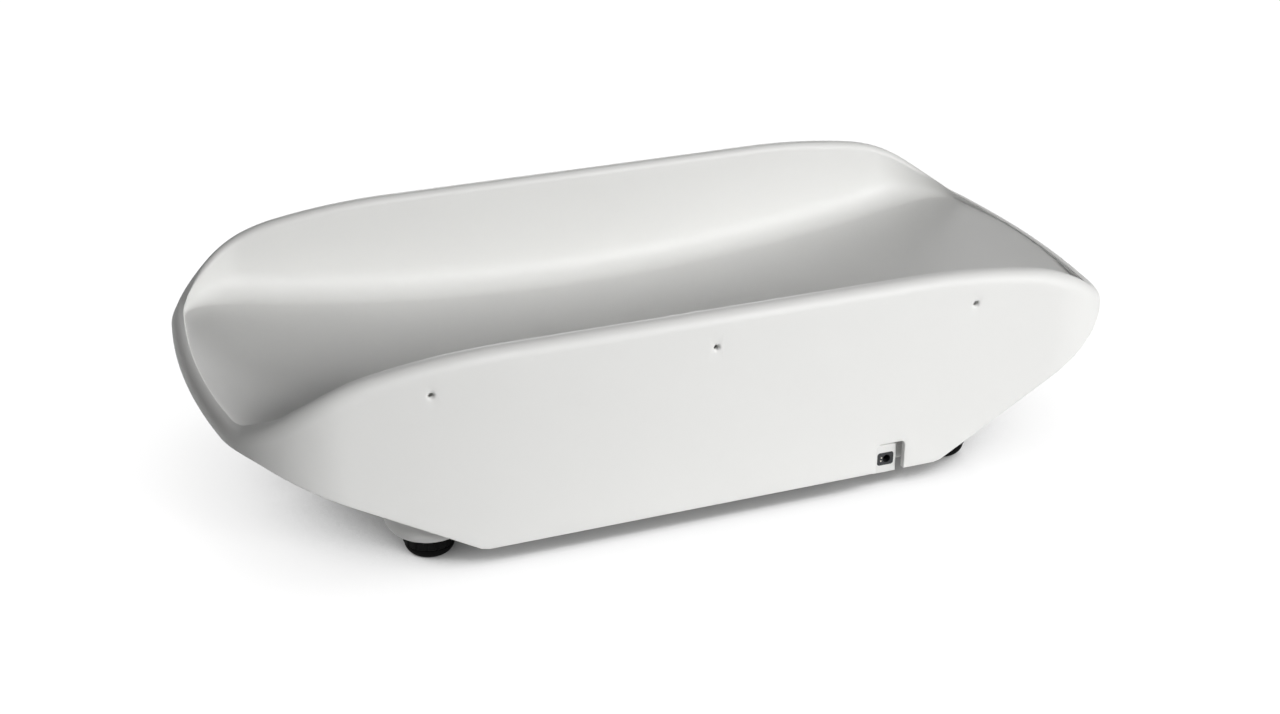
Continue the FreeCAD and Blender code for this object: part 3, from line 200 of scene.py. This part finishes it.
def grid_faces(rows, columns):
    """Quads of a grid stored row by row, whose last column meets the first."""
    r = np.arange(rows - 1)[:, None]
    c = np.arange(columns)[None, :]
    here, right = r * columns + c, r * columns + (c + 1) % columns
    return np.stack([here, right, right + columns, here + columns], -1).reshape(-1, 4)


def s_curve(u):
    """3u^2 - 2u^3: level at both ends."""
    return u * u * (3 - 2 * u)


def mend(mesh):
    """Merges doubled points, takes out slivers and turns the faces outwards."""
    edit = bmesh.new()
    edit.from_mesh(mesh)
    bmesh.ops.remove_doubles(edit, verts=edit.verts, dist=MERGE)
    bmesh.ops.dissolve_degenerate(edit, edges=edit.edges, dist=SLIVER)
    bmesh.ops.recalc_face_normals(edit, faces=edit.faces)
    edit.to_mesh(mesh)
    edit.free()


def closed_mesh(name, verts, faces):
    """Mended mesh over points in millimetres."""
    mesh = bpy.data.meshes.new(name)
    mesh.from_pydata(verts * MM, [], faces)
    mend(mesh)
    return mesh


def side_prism(outline, y0, y1):
    """Closed prism along y over a loop of (x, z) points, as a cutter."""
    x, z = np.array(outline).T
    n = len(x)
    verts = np.concatenate([np.stack([x, np.full(n, y), z], -1) for y in (y0, y1)])
    return verts, grid_faces(2, n).tolist() + [list(range(n - 1, -1, -1)), list(range(n, 2 * n))]


def notch_outline(left, right, top, corner, foot=-5):
    """Open-bottomed notch from below the floor up: two quarter circles at its upper corners."""
    a = np.linspace(0, math.pi / 2, ARC_POINTS)
    upper = [(right - corner * (1 - math.cos(t)), top - corner * (1 - math.sin(t))) for t in a]
    upper += [(left + corner * (1 - math.sin(t)), top - corner * (1 - math.cos(t))) for t in a]
    return [(right, foot)] + upper + [(left, foot)]


def turned(profile, centre, axis, sides=48):
    """Solid of revolution: (radius, distance along the axis) points turned about an axis by angle.

    The profile starts and ends on the axis."""
    radius, along = np.array(profile, float).T
    angle = np.linspace(0, 2 * math.pi, sides, endpoint=False)
    ahead = Vector(axis)
    one = ahead.orthogonal().normalized()
    two = ahead.cross(one)
    circle = np.outer(np.cos(angle), one) + np.outer(np.sin(angle), two)
    verts = (np.array(centre) + along[:, None, None] * np.array(ahead)
             + radius[:, None, None] * circle[None, :, :]).reshape(-1, 3)
    return verts, grid_faces(len(profile), sides)


def carve(mesh, cutters):
    """Takes closed cutters out of a closed mesh."""
    body = put("carved", mesh)
    tools = [put("cutter", closed_mesh("cutter", verts, faces)) for verts, faces in cutters]
    for tool in tools:
        cut = body.modifiers.new("cut", "BOOLEAN")
        cut.object, cut.operation, cut.solver = tool, "DIFFERENCE", "EXACT"
    bpy.context.view_layer.update()
    whole = bpy.data.meshes.new_from_object(body.evaluated_get(bpy.context.evaluated_depsgraph_get()))
    for extra in tools + [body]:
        bpy.data.objects.remove(extra)
    return whole


def soften(mesh, faces_y, width):
    """Rounds the sharp edges that cuts left in the upright faces at y = +-faces_y."""
    edit = bmesh.new()
    edit.from_mesh(mesh)
    edges = [e for e in edit.edges if len(e.link_faces) == 2 and e.calc_face_angle() > SHARP
             and all(min(abs(abs(v.co.y) - y * MM) for y in faces_y) < MERGE for v in e.verts)]
    bmesh.ops.bevel(edit, geom=edges, offset=width * MM, segments=3, profile=0.5, affect="EDGES")
    edit.to_mesh(mesh)
    edit.free()


# --- tray -----------------------------------------------------------------------------------------------
HALF_LENGTH, HALF_WIDTH = 285.0, 129.0
END_BOW, CORNER = 527.0, 59.5           # plan radii of the ends and corners
RIM_WIDTH, END_RIM = 12.5, 8.0          # thickness of the rolled rim
OUTER_ROLL = 7.5
INNER_ROLL, INNER_ROLL_END = 4.7, 0.5   # its radius along the sides and at the ends
ROLL_FROM, ROLL_SPAN = 1.364, 0.296     # where round the corner it changes
CREST = 0.02                            # least level width left between the two rolls
WALL, END_HOLLOW = 4.0, 0.6             # wall, room left between skirt and trough at the ends
FLOOR_LOW, FLOOR_ARC = 64.0, 1273.0     # lowest point of the trough, radius of its floor
RIM_HIGH = 137.4
SHOULDER_RADIUS, SHOULDER_TURN = 454.0, 9.8     # the rim's fall towards the ends
FALL_TURN, FALL_STRAIGHT, SWEEP_RADIUS = 35.9, 23.8, 15.5
COVE_SIDE, COVE_END, COVE_SHARE = 18.0, 0.6, 0.95   # radii, most of the wall that a cove may take
END_LIP, END_BEAD = 0.8, 8.4            # rim over floor at the ends, height of the rim there
RIM_DEPTH = 9.0
SKIRT_LOW, SKIRT_HALF_FLAT, SKIRT_RISE = 14.2, 143.7, 30.0
SKIRT_BEND, SKIRT_SWEEP = 5, 40         # radii at the foot and at the head of the skirt's slope
EDGE_ROUND, CUT_ROUND = 0.6, 0.4        # radii of the skirt's edge and of the edges of cuts
RIM_RUN_ON, SKIRT_RUN_ON = 40, 60       # lengths by which the lines go on past the ends
RUN_STEPS = 400
SOCKET_NOTCH = (-121.5, -102.5, 33.3, 3)        # left, right, top, corner radius
CONSOLE_NOTCH = (-117.3, 117.3, 61.0, 10.8)
CUT_NEAR, CUT_FAR = 121, 131            # how far out the cutters of the notches start and end
PILOT_HOLES, PILOT_HEIGHT = (-164, 4, 172), 116.8
PILOT_PROFILE = ((0, -6), (1.7, -6), (1.7, -0.5), (3.2, 0), (3.2, 2), (0, 2))

SIDE_COLUMNS, CORNER_COLUMNS, END_COLUMNS = 48, 40, 16
FLOOR_ROWS, COVE_ROWS, LIP_ROWS, ROLL_ROWS, EDGE_ROWS = 14, 19, 8, 17, 4
UNDER_COVE_ROWS, UNDER_FLOOR_ROWS = 13, 10
WALL_SHARES, SKIRT_SHARES = (0.06, 0.3, 0.6, 0.94), (0.03, 0.2, 0.4, 0.6, 0.8, 0.97)
LINING_SHARES, CROWN_SHARES = (0.1, 0.5, 1.0), (1.0, 0.5, 0.05)


def plan(w, side, end):
    """Quarter of the tray's outline, inset by side along its sides and by end at its ends.

    w runs from 0 to 1 along half a straight side, to 2 round the corner arc and to 3 along half the
    bowed end: x = cx w, then centre + radius (cos a, sin a) with a falling from a right angle."""
    half_width, corner, bow = HALF_WIDTH - side, CORNER - side, END_BOW - end
    bow_x = HALF_LENGTH - end - bow
    corner_y = half_width - corner
    corner_x = bow_x + math.sqrt((bow - corner) ** 2 - corner_y ** 2)
    turn = math.atan2(corner_y, corner_x - bow_x)
    angle = np.interp(w, (1, 2, 3), (math.pi / 2, turn, 0))
    x = np.where(w > 2, bow_x + bow * np.cos(angle), corner_x + corner * np.cos(angle))
    y = np.where(w > 2, bow * np.sin(angle), corner_y + corner * np.sin(angle))
    return np.where(w < 1, corner_x * w, x), np.where(w < 1, half_width, y)


def side_line(z, runs):
    """Height and slope against x of a chain of (length, turn in degrees) runs that starts level.

    The heading grows evenly along each run, and x and z are the running sums of its cosine and sine."""
    step = np.concatenate([np.full(RUN_STEPS, length / RUN_STEPS) for length, _ in runs])
    turn = np.concatenate([np.full(RUN_STEPS, math.radians(turn) / RUN_STEPS) for _, turn in runs])
    heading = np.cumsum(turn) - turn / 2
    x = np.concatenate([[0], np.cumsum(step * np.cos(heading))])
    heights = z + np.concatenate([[0], np.cumsum(step * np.sin(heading))])
    middle = (x[1:] + x[:-1]) / 2
    return (lambda at: np.interp(np.abs(at), x, heights),
            lambda at: np.interp(np.abs(at), middle, np.tan(heading)) * np.sign(at))


def floor_height(x, arc=FLOOR_ARC):
    """Trough floor: an arc along x about one centre; the underside has a larger radius."""
    return FLOOR_LOW + FLOOR_ARC - np.sqrt(arc ** 2 - x ** 2)


def rim_runs():
    """Level, a long shoulder, a fall, a straight slope, a tight sweep, then up with the floor."""
    end_x = HALF_LENGTH - END_RIM
    shoulder, fall = math.radians(SHOULDER_TURN), math.radians(FALL_TURN)
    rise = math.asin(end_x / FLOOR_ARC)
    drop = (RIM_HIGH - floor_height(end_x) - END_LIP - SWEEP_RADIUS * (1 - math.cos(fall))
            - FALL_STRAIGHT * math.sin(fall) - SHOULDER_RADIUS * (1 - math.cos(shoulder)))
    radius = drop / (math.cos(shoulder) - math.cos(fall))
    reach = (SHOULDER_RADIUS * math.sin(shoulder) + radius * (math.sin(fall) - math.sin(shoulder))
             + FALL_STRAIGHT * math.cos(fall) + SWEEP_RADIUS * math.sin(fall))
    return [(end_x - reach, 0), (SHOULDER_RADIUS * shoulder, -SHOULDER_TURN),
            (radius * (fall - shoulder), SHOULDER_TURN - FALL_TURN), (FALL_STRAIGHT, 0),
            (SWEEP_RADIUS * (fall + rise), FALL_TURN + math.degrees(rise)), (RIM_RUN_ON, 0)]


def skirt_runs():
    """Level, a small corner, the slope, an arc back to level under the ends."""
    rise = math.radians(SKIRT_RISE)
    high = floor_height(HALF_LENGTH - END_RIM) + END_LIP - END_BEAD
    slope = (high - SKIRT_LOW - (SKIRT_BEND + SKIRT_SWEEP) * (1 - math.cos(rise))) / math.sin(rise)
    return [(SKIRT_HALF_FLAT, 0), (SKIRT_BEND * rise, SKIRT_RISE), (slope, 0),
            (SKIRT_SWEEP * rise, -SKIRT_RISE), (SKIRT_RUN_ON, 0)]


rim, rim_slope = side_line(RIM_HIGH, rim_runs())
skirt, _ = side_line(SKIRT_LOW, skirt_runs())


def floor_row(foot, t, arc):
    """Row of the floor or its underside at a share t of the way out to the cove's foot.

    x goes out from 0.72 of the foot's and y from 0, so the rows close up on the middle line."""
    x = foot[0] * (0.72 + 0.28 * t)
    return x, foot[1] * t, floor_height(x, arc)


def tray_rows(w):
    """Rows of a quarter of the tray: floor, cove, wall, rolled rim, skirt, and back underneath.

    Each row holds one point for each w. The cove is a quarter circle between floor and wall whose
    radius shrinks in an S round the corner, and so does the inner roll's. The outer roll is the tube
    of a ball that runs under the rim line against the wall: an ellipse across the outline, taller
    where the rim is steep."""
    outer, inner = plan(w, 0, 0), plan(w, RIM_WIDTH, END_RIM)
    lining, under = plan(w, WALL, WALL), plan(w, RIM_WIDTH - WALL, END_RIM - WALL + END_HOLLOW)
    lip = INNER_ROLL + (INNER_ROLL_END - INNER_ROLL) * s_curve(np.clip((w - ROLL_FROM) / ROLL_SPAN, 0, 1))
    width = np.hypot(outer[0] - inner[0], outer[1] - inner[1])
    out_x, out_y = (outer[0] - inner[0]) / width, (outer[1] - inner[1]) / width

    def across(d):
        """Point at a distance d inside the outer outline."""
        return outer[0] - d * out_x, outer[1] - d * out_y

    centre = across(OUTER_ROLL)
    slope = rim_slope(centre[0])
    tall = np.sqrt(1 + (slope * out_y) ** 2)
    ball = rim(centre[0]) - OUTER_ROLL * np.sqrt(1 + slope ** 2)
    lean = math.pi / 2 + np.arctan(slope * out_x / tall)
    last = np.minimum(OUTER_ROLL * (1 - np.cos(lean)), width - lip - CREST)
    lean = np.arccos(1 - last / OUTER_ROLL)

    def top(d):
        """Rim height at a distance inside the outer outline."""
        tube = ball + OUTER_ROLL * tall * np.sin(np.arccos(np.clip(1 - d / OUTER_ROLL, -1, 1)))
        return np.where(d < last, tube, rim(across(d)[0]) + top_shift)

    top_shift = 0.0
    top_shift = top(last * 0.999999) - rim(across(last)[0])     # brings the level part up to the roll

    floor_z = floor_height(inner[0])
    cove = COVE_SIDE + (COVE_END - COVE_SIDE) * s_curve(np.clip(w - 1, 0, 1))
    cove = np.minimum(cove, COVE_SHARE * (top(width - lip) - lip - floor_z))
    foot = inner[0] - cove * out_x, inner[1] - cove * out_y
    rows = [floor_row(foot, t, FLOOR_ARC) for t in np.linspace(0, 1, FLOOR_ROWS + 1)[:-1]]
    for a in np.linspace(0, math.pi / 2, COVE_ROWS):
        inset = cove * (1 - math.sin(a))
        x = inner[0] - inset * out_x
        rows.append((x, inner[1] - inset * out_y, floor_height(x) + cove * (1 - math.cos(a))))
    wall_low, wall_high = floor_z + cove, top(width - lip) - lip
    for t in WALL_SHARES:
        rows.append((*inner, wall_low + t * (wall_high - wall_low)))
    for a in np.linspace(0, math.pi / 2, LIP_ROWS):
        d = width - lip * (1 - math.cos(a))
        rows.append((*across(d), top(d) - lip * (1 - math.sin(a))))
    for t in (0.5, 1.0):
        d = width - lip + t * (last - width + lip)
        rows.append((*across(d), top(d)))
    for t in np.linspace(1, 0, ROLL_ROWS + 1)[1:]:
        d = OUTER_ROLL * (1 - np.cos(lean * t))
        rows.append((*across(d), ball + OUTER_ROLL * tall * np.sin(lean * t)))

    low = skirt(outer[0])
    for t in SKIRT_SHARES:
        rows.append((*outer, ball + t * (low + EDGE_ROUND - ball)))
    quarter = np.linspace(0, math.pi / 2, EDGE_ROWS)
    edge = [(EDGE_ROUND * (1 - math.cos(a)) / WALL, 1 - math.sin(a)) for a in quarter]
    edge += [(1 - EDGE_ROUND * (1 - math.sin(a)) / WALL, 1 - math.cos(a)) for a in quarter]
    for inset, lift in edge:
        x, y = [o + (i - o) * inset for o, i in zip(outer, lining)]
        rows.append((x, y, low + EDGE_ROUND * lift))

    def hidden(x, y, z):
        """A point of the underside, kept under the rim and over the skirt's edge."""
        return x, y, np.maximum(np.minimum(z, rim(x) - RIM_DEPTH), skirt(x) + EDGE_ROUND)

    ceiling = rim(lining[0]) - RIM_DEPTH
    for t in LINING_SHARES:
        rows.append(hidden(*lining, low + t * (ceiling - low)))
    crown = floor_height(under[0], FLOOR_ARC + WALL) + cove + WALL
    for t in CROWN_SHARES:
        rows.append(hidden(*under, crown + t * np.maximum(rim(under[0]) - RIM_DEPTH - crown, 0)))
    for a in np.linspace(math.pi / 2, 0, UNDER_COVE_ROWS):
        inset = (cove + WALL) * (1 - math.sin(a))
        x = under[0] - inset * out_x
        z = floor_height(x, FLOOR_ARC + WALL) + (cove + WALL) * (1 - math.cos(a))
        rows.append(hidden(x, under[1] - inset * out_y, z))
    foot = rows[-1]
    for t in np.linspace(1, 0, UNDER_FLOOR_ROWS + 1)[1:]:
        rows.append(hidden(*floor_row(foot, t, FLOOR_ARC + WALL)))
    return rows


def all_round(x, y, z):
    """A quarter's row mirrored into a closed ring: rear left, front left, front right, rear right."""
    back, rest, both = slice(-2, None, -1), slice(1, None), slice(-2, 0, -1)
    return np.stack([np.concatenate([x, x[back], -x[rest], -x[both]]),
                     np.concatenate([y, -y[back], -y[rest], y[both]]),
                     np.concatenate([z, z[back], z[rest], z[both]])], -1)


def tray_skin():
    """The moulded tray as one closed skin, with its notches and pilot holes cut out."""
    w = np.concatenate([np.linspace(0, 1, SIDE_COLUMNS + 1)[:-1], np.linspace(1, 2, CORNER_COLUMNS + 1)[:-1],
                        np.linspace(2, 3, END_COLUMNS + 1)])
    rings = [all_round(*row) for row in tray_rows(w)]
    mesh = closed_mesh("tray_skin", np.concatenate(rings), grid_faces(len(rings), len(rings[0])))
    cutters = [side_prism(notch_outline(*SOCKET_NOTCH), CUT_NEAR, CUT_FAR),
               side_prism(notch_outline(*CONSOLE_NOTCH), -CUT_FAR, -CUT_NEAR)]
    cutters += [turned(PILOT_PROFILE, (x, HALF_WIDTH, PILOT_HEIGHT), (0, 1, 0)) for x in PILOT_HOLES]
    mesh = carve(mesh, cutters)
    soften(mesh, (HALF_WIDTH, HALF_WIDTH - WALL), CUT_ROUND)
    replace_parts(piece_from("tray_skin", mesh, satin_abs, "tray"), "tray_shell")


def bending_cell():
    """The load cell, which the base holds at one end and the tray at the other: a mended copy of its own shape
    in milled aluminium, in place of the CAD part."""
    cell = put("bending_cell", nodes["load_cell"].data.copy())
    mend(cell.data)
    dress(cell, milled_aluminium)
    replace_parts(cell, "load_cell")
    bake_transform(cell)


tray_skin()
bending_cell()


# --- figures on the display and signs on the keys ---------------------------------------------------------
FACE_LEAN = math.radians(5)
FACE_FOOT, FACE_BOTTOM = -128.2, 16.415     # y and z of the foot of the console's face
FACE_MIDDLE = 21.5                      # height up the face of the display's and the keys' middle
LCD_FACE, KEY_FACE = -4.2, 1.0          # depths of the glass and of the key tops against the face
FILM_UNDER, FILM_OVER = 0.02, 0.04      # how far a film is sunk in its ground and stands out of it
FIGURE_PLACES = (-20, -3, 10.5)         # left edges of the three noughts
POINT = ((-8.6, -6.6), (-6.8, -6.6))    # ends of the decimal point's bar
STROKE, STROKE_GAP = 1.8, 0.22
SHAFT = 0.28                            # half the thickness of an arrow's shaft
KEY_PLACES = {"power_key": -87, "unit_key": -62, "hold_key": 62, "tare_key": 87}


def on_console(u, v, n):
    """Points of the console's face: u along X, v up the face, n outwards; it leans back by 5 degrees."""
    s, c = math.sin(FACE_LEAN), math.cos(FACE_LEAN)
    return np.stack([u, FACE_FOOT + s * v - c * n, FACE_BOTTOM + c * v + s * n], -1)


def printed(name, outlines, face, material, body):
    """Film on the console: a prism over each outline of (u, v) points, partly sunk in its ground.

    The lower face of each prism also takes in the points of the outlines before it."""
    verts, faces, start = [], [], 0
    for outline in outlines:
        u, v = np.array(outline, float).T
        count = len(u)
        verts += [on_console(u, v + FACE_MIDDLE, np.full(count, face + h)) for h in (-FILM_UNDER, FILM_OVER)]
        faces += (grid_faces(2, count) + start).tolist()
        faces += [list(range(start + count))[::-1], list(range(start + count, start + 2 * count))]
        start += 2 * count
    mesh = closed_mesh(name, np.concatenate(verts), faces)
    piece_from(name, mesh, material, body, smooth=False)


def bar(start, end, thick, gap=0.0):
    """Bar from start to end, pointed at both ends where a gap is left, square without one."""
    start, end = np.array(start, float), np.array(end, float)
    along = (end - start) / np.hypot(*(end - start))
    half = np.array([-along[1], along[0]]) * thick / 2
    if not gap:
        return [start + half, start - half, end - half, end + half]
    near, far = start + along * (gap + thick / 2), end - along * (gap + thick / 2)
    return [start + along * gap, near - half, far - half, end - along * gap, far + half, near + half]


def ring(centre, inner, outer, first, last, squeeze=1.0):
    """Part of a ring between two angles in degrees: the outer arc out, the inner arc back."""
    angle = np.radians(np.linspace(first, last, 33))
    arc = np.stack([np.cos(angle) * squeeze, np.sin(angle)], -1)
    return np.concatenate([arc * outer, arc[::-1] * inner]) + centre


def nought(left, wide=8.4, high=15.0, slant=0.11):
    """Nought of six bars round a frame that leans by slant."""
    corners = [(0, 0), (wide, 0), (wide, high / 2), (wide, high), (0, high), (0, high / 2)]
    bars = [bar(a, b, STROKE, STROKE_GAP) for a, b in zip(corners, corners[1:] + corners[:1])]
    return [[(left + u + slant * v, v - high / 2) for u, v in one] for one in bars]


def arrow(tip, length, head):
    """Arrow along u whose tip is given: a shaft and a triangle; a negative length points it left."""
    u, v = tip
    neck = u - math.copysign(1, length) * head
    return [(u, v), (neck, v + head * 0.75), (neck, v + SHAFT), (u - length, v + SHAFT),
            (u - length, v - SHAFT), (neck, v - SHAFT), (neck, v - head * 0.75)]


figures = [one for left in FIGURE_PLACES for one in nought(left)] + [bar(*POINT, STROKE)]
printed("display_figures", figures, LCD_FACE, lcd_segment, "base")
key_signs = {
    "power_key": [ring((0, -0.3), 1.9, 2.45, 122, 418), bar((0, 0.1), (0, 3.0), 0.55)],
    "unit_key": [arrow((3.2, 1.2), 6.4, 1.7), arrow((-3.2, -1.2), -6.4, 1.7)],
    "hold_key": [bar((-1.3, -2.3), (-1.3, 2.3), 1.1), bar((1.3, -2.3), (1.3, 2.3), 1.1)],
    "tare_key": [ring((0, 0), 1.9, 2.5, 0.5, 179.5, 0.7), ring((0, 0), 1.9, 2.5, 180.5, 359.5, 0.7),
                 arrow((-2.4, 0), 3.4, 1.5), arrow((2.4, 0), -3.4, 1.5)],
}
for key, outlines in key_signs.items():
    shifted = [[(u + KEY_PLACES[key], v) for u, v in outline] for outline in outlines]
    printed(key + "_sign", shifted, KEY_FACE, pad_ink, key)


# --- floor, camera and light, in metres --------------------------------------------------------------------
WHITE = (1.0, 1.0, 1.0, 1.0)
FLOOR_REACH = 30.0
PAPER_LIT, PAPER_FAINT = 0.8, 0.25      # paper as the object sees it, and under the glow
# Painted shadow: the floor's glow is dimmed where it sees little sky within SHADOW_REACH, under and beside the
# object.
SHADOW_REACH = 0.14
SHADOW_TONES = ((0, 0.02), (0.19, 0.17), (0.25, 0.5), (0.33, 0.69), (0.43, 0.8), (0.6, 0.88), (0.78, 0.96),
                (0.92, 1.0))            # glow of the floor against how much sky it sees
CAMERA_AZIMUTH, CAMERA_ELEVATION = 180 - 21.32, 25.58
CAMERA_PLACE, CAMERA_LENS = Vector((0.4238, 1.0845, 0.6103)), 57.16
SENSOR_WIDTH = 36.0
AIM = (0, 0, 0.07)
LAMPS = (                               # name, place, aim, size, watts, spread in degrees
    ("main_light", (-1.225, 2.627, 1.40), (-0.12, 0.12, 0.07), 0.9, 4.25, 40),
    ("low_light", (-2.101, 2.101, 0.488), AIM, 1.2, 12, 180),
    ("left_light", (2.898, 0, 0.846), AIM, 1.2, 7.5, 180),
    ("front_light", (-0.9, -2.9, 0.56), AIM, 1.2, 28, 180),
)


def seen_directly(material):
    """One for what the camera sees, also in a reflection or through a window."""
    path = add(material, "ShaderNodeLightPath").outputs
    seen = add(material, "ShaderNodeMath", {"operation": "MAXIMUM"}, _0=path["Is Camera Ray"],
               _1=path["Is Glossy Ray"])
    return add(material, "ShaderNodeMath", {"operation": "MAXIMUM"}, _0=seen.outputs[0],
               _1=path["Is Transmission Ray"]).outputs[0]


def studio_floor():
    """Pale floor that reads as white to the camera, with a painted shadow near the object on top of the lamps'
    real shadows; clear from beneath.
    """
    corners = [(-1, -1), (1, -1), (1, 1), (-1, 1)]
    mesh = bpy.data.meshes.new("studio_floor")
    mesh.from_pydata([(x * FLOOR_REACH, y * FLOOR_REACH, 0) for x, y in corners], [], [(0, 1, 2, 3)])
    paper = blank_material("studio_paper")
    lit = add(paper, "ShaderNodeBsdfDiffuse", Color=(PAPER_LIT, PAPER_LIT, PAPER_LIT, 1.0))
    faint = add(paper, "ShaderNodeBsdfDiffuse", Color=(PAPER_FAINT, PAPER_FAINT, PAPER_FAINT, 1.0))
    open_sky = add(paper, "ShaderNodeAmbientOcclusion", {"samples": 32}, Distance=SHADOW_REACH)
    painted_shadow_tones = add(paper, "ShaderNodeValToRGB", _0=open_sky.outputs["AO"])
    stops = painted_shadow_tones.color_ramp.elements
    for step, (seen, tone) in enumerate(SHADOW_TONES):
        stop = stops.new(seen) if step else stops[0]
        stop.position, stop.color = seen, (tone, tone, tone, 1.0)
    stops.remove(stops[-1])
    # The glow carries the painted shadow; the faint diffuse under it keeps the lamps' real shadows.
    glow = add(paper, "ShaderNodeEmission", Color=painted_shadow_tones.outputs["Color"], Strength=1.0)
    both = add(paper, "ShaderNodeAddShader", _0=faint.outputs[0], _1=glow.outputs[0])
    above = add(paper, "ShaderNodeMixShader", _0=seen_directly(paper), _1=lit.outputs[0], _2=both.outputs[0])
    gone = add(paper, "ShaderNodeBsdfTransparent")
    beneath = add(paper, "ShaderNodeNewGeometry").outputs["Backfacing"]
    one_way = add(paper, "ShaderNodeMixShader", _0=beneath, _1=above.outputs[0], _2=gone.outputs[0])
    add(paper, "ShaderNodeOutputMaterial", Surface=one_way.outputs[0])
    mesh.materials.append(paper)
    put("studio_floor", mesh)


def studio_sky():
    """White to the camera and unlit for the rest, so that the lamps alone light the object."""
    world = bpy.data.worlds.new("studio_sky")
    bpy.context.scene.world = world
    world.use_nodes = True
    world.node_tree.nodes.clear()
    white = add(world, "ShaderNodeBackground", Color=WHITE, Strength=1.0)
    none = add(world, "ShaderNodeBackground", Color=WHITE, Strength=0.0)
    mix = add(world, "ShaderNodeMixShader", _0=seen_directly(world), _1=none.outputs[0],
              _2=white.outputs[0])
    add(world, "ShaderNodeOutputWorld", Surface=mix.outputs[0])


def soft_lamp(name, place, aim, size, power, spread):
    """Square soft box that faces its aim; a narrow spread, in degrees, makes a pool of light."""
    data = bpy.data.lights.new(name, "AREA")
    data.size = size
    data.energy = power
    data.spread = math.radians(spread)
    lamp = put(name, data)
    lamp.location = place
    lamp.rotation_euler = (Vector(aim) - Vector(place)).to_track_quat("-Z", "Y").to_euler()


def camera():
    """Looks at the rear from the left, from above."""
    turn, lift = math.radians(CAMERA_AZIMUTH), math.radians(CAMERA_ELEVATION)
    back = Vector((math.sin(turn) * math.cos(lift), -math.cos(turn) * math.cos(lift), math.sin(lift)))
    right = Vector((math.cos(turn), math.sin(turn), 0))
    facing = Matrix((right, back.cross(right), back)).transposed()
    data = bpy.data.cameras.new("camera")
    data.sensor_width, data.lens = SENSOR_WIDTH, CAMERA_LENS
    data.clip_start, data.clip_end = 0.05, 100.0
    view = put("camera", data)
    view.matrix_world = Matrix.Translation(CAMERA_PLACE) @ facing.to_4x4()
    bpy.context.scene.camera = view


camera()
studio_floor()
studio_sky()
for lamp in LAMPS:
    soft_lamp(*lamp)
bpy.context.scene.view_settings.view_transform = "Standard"
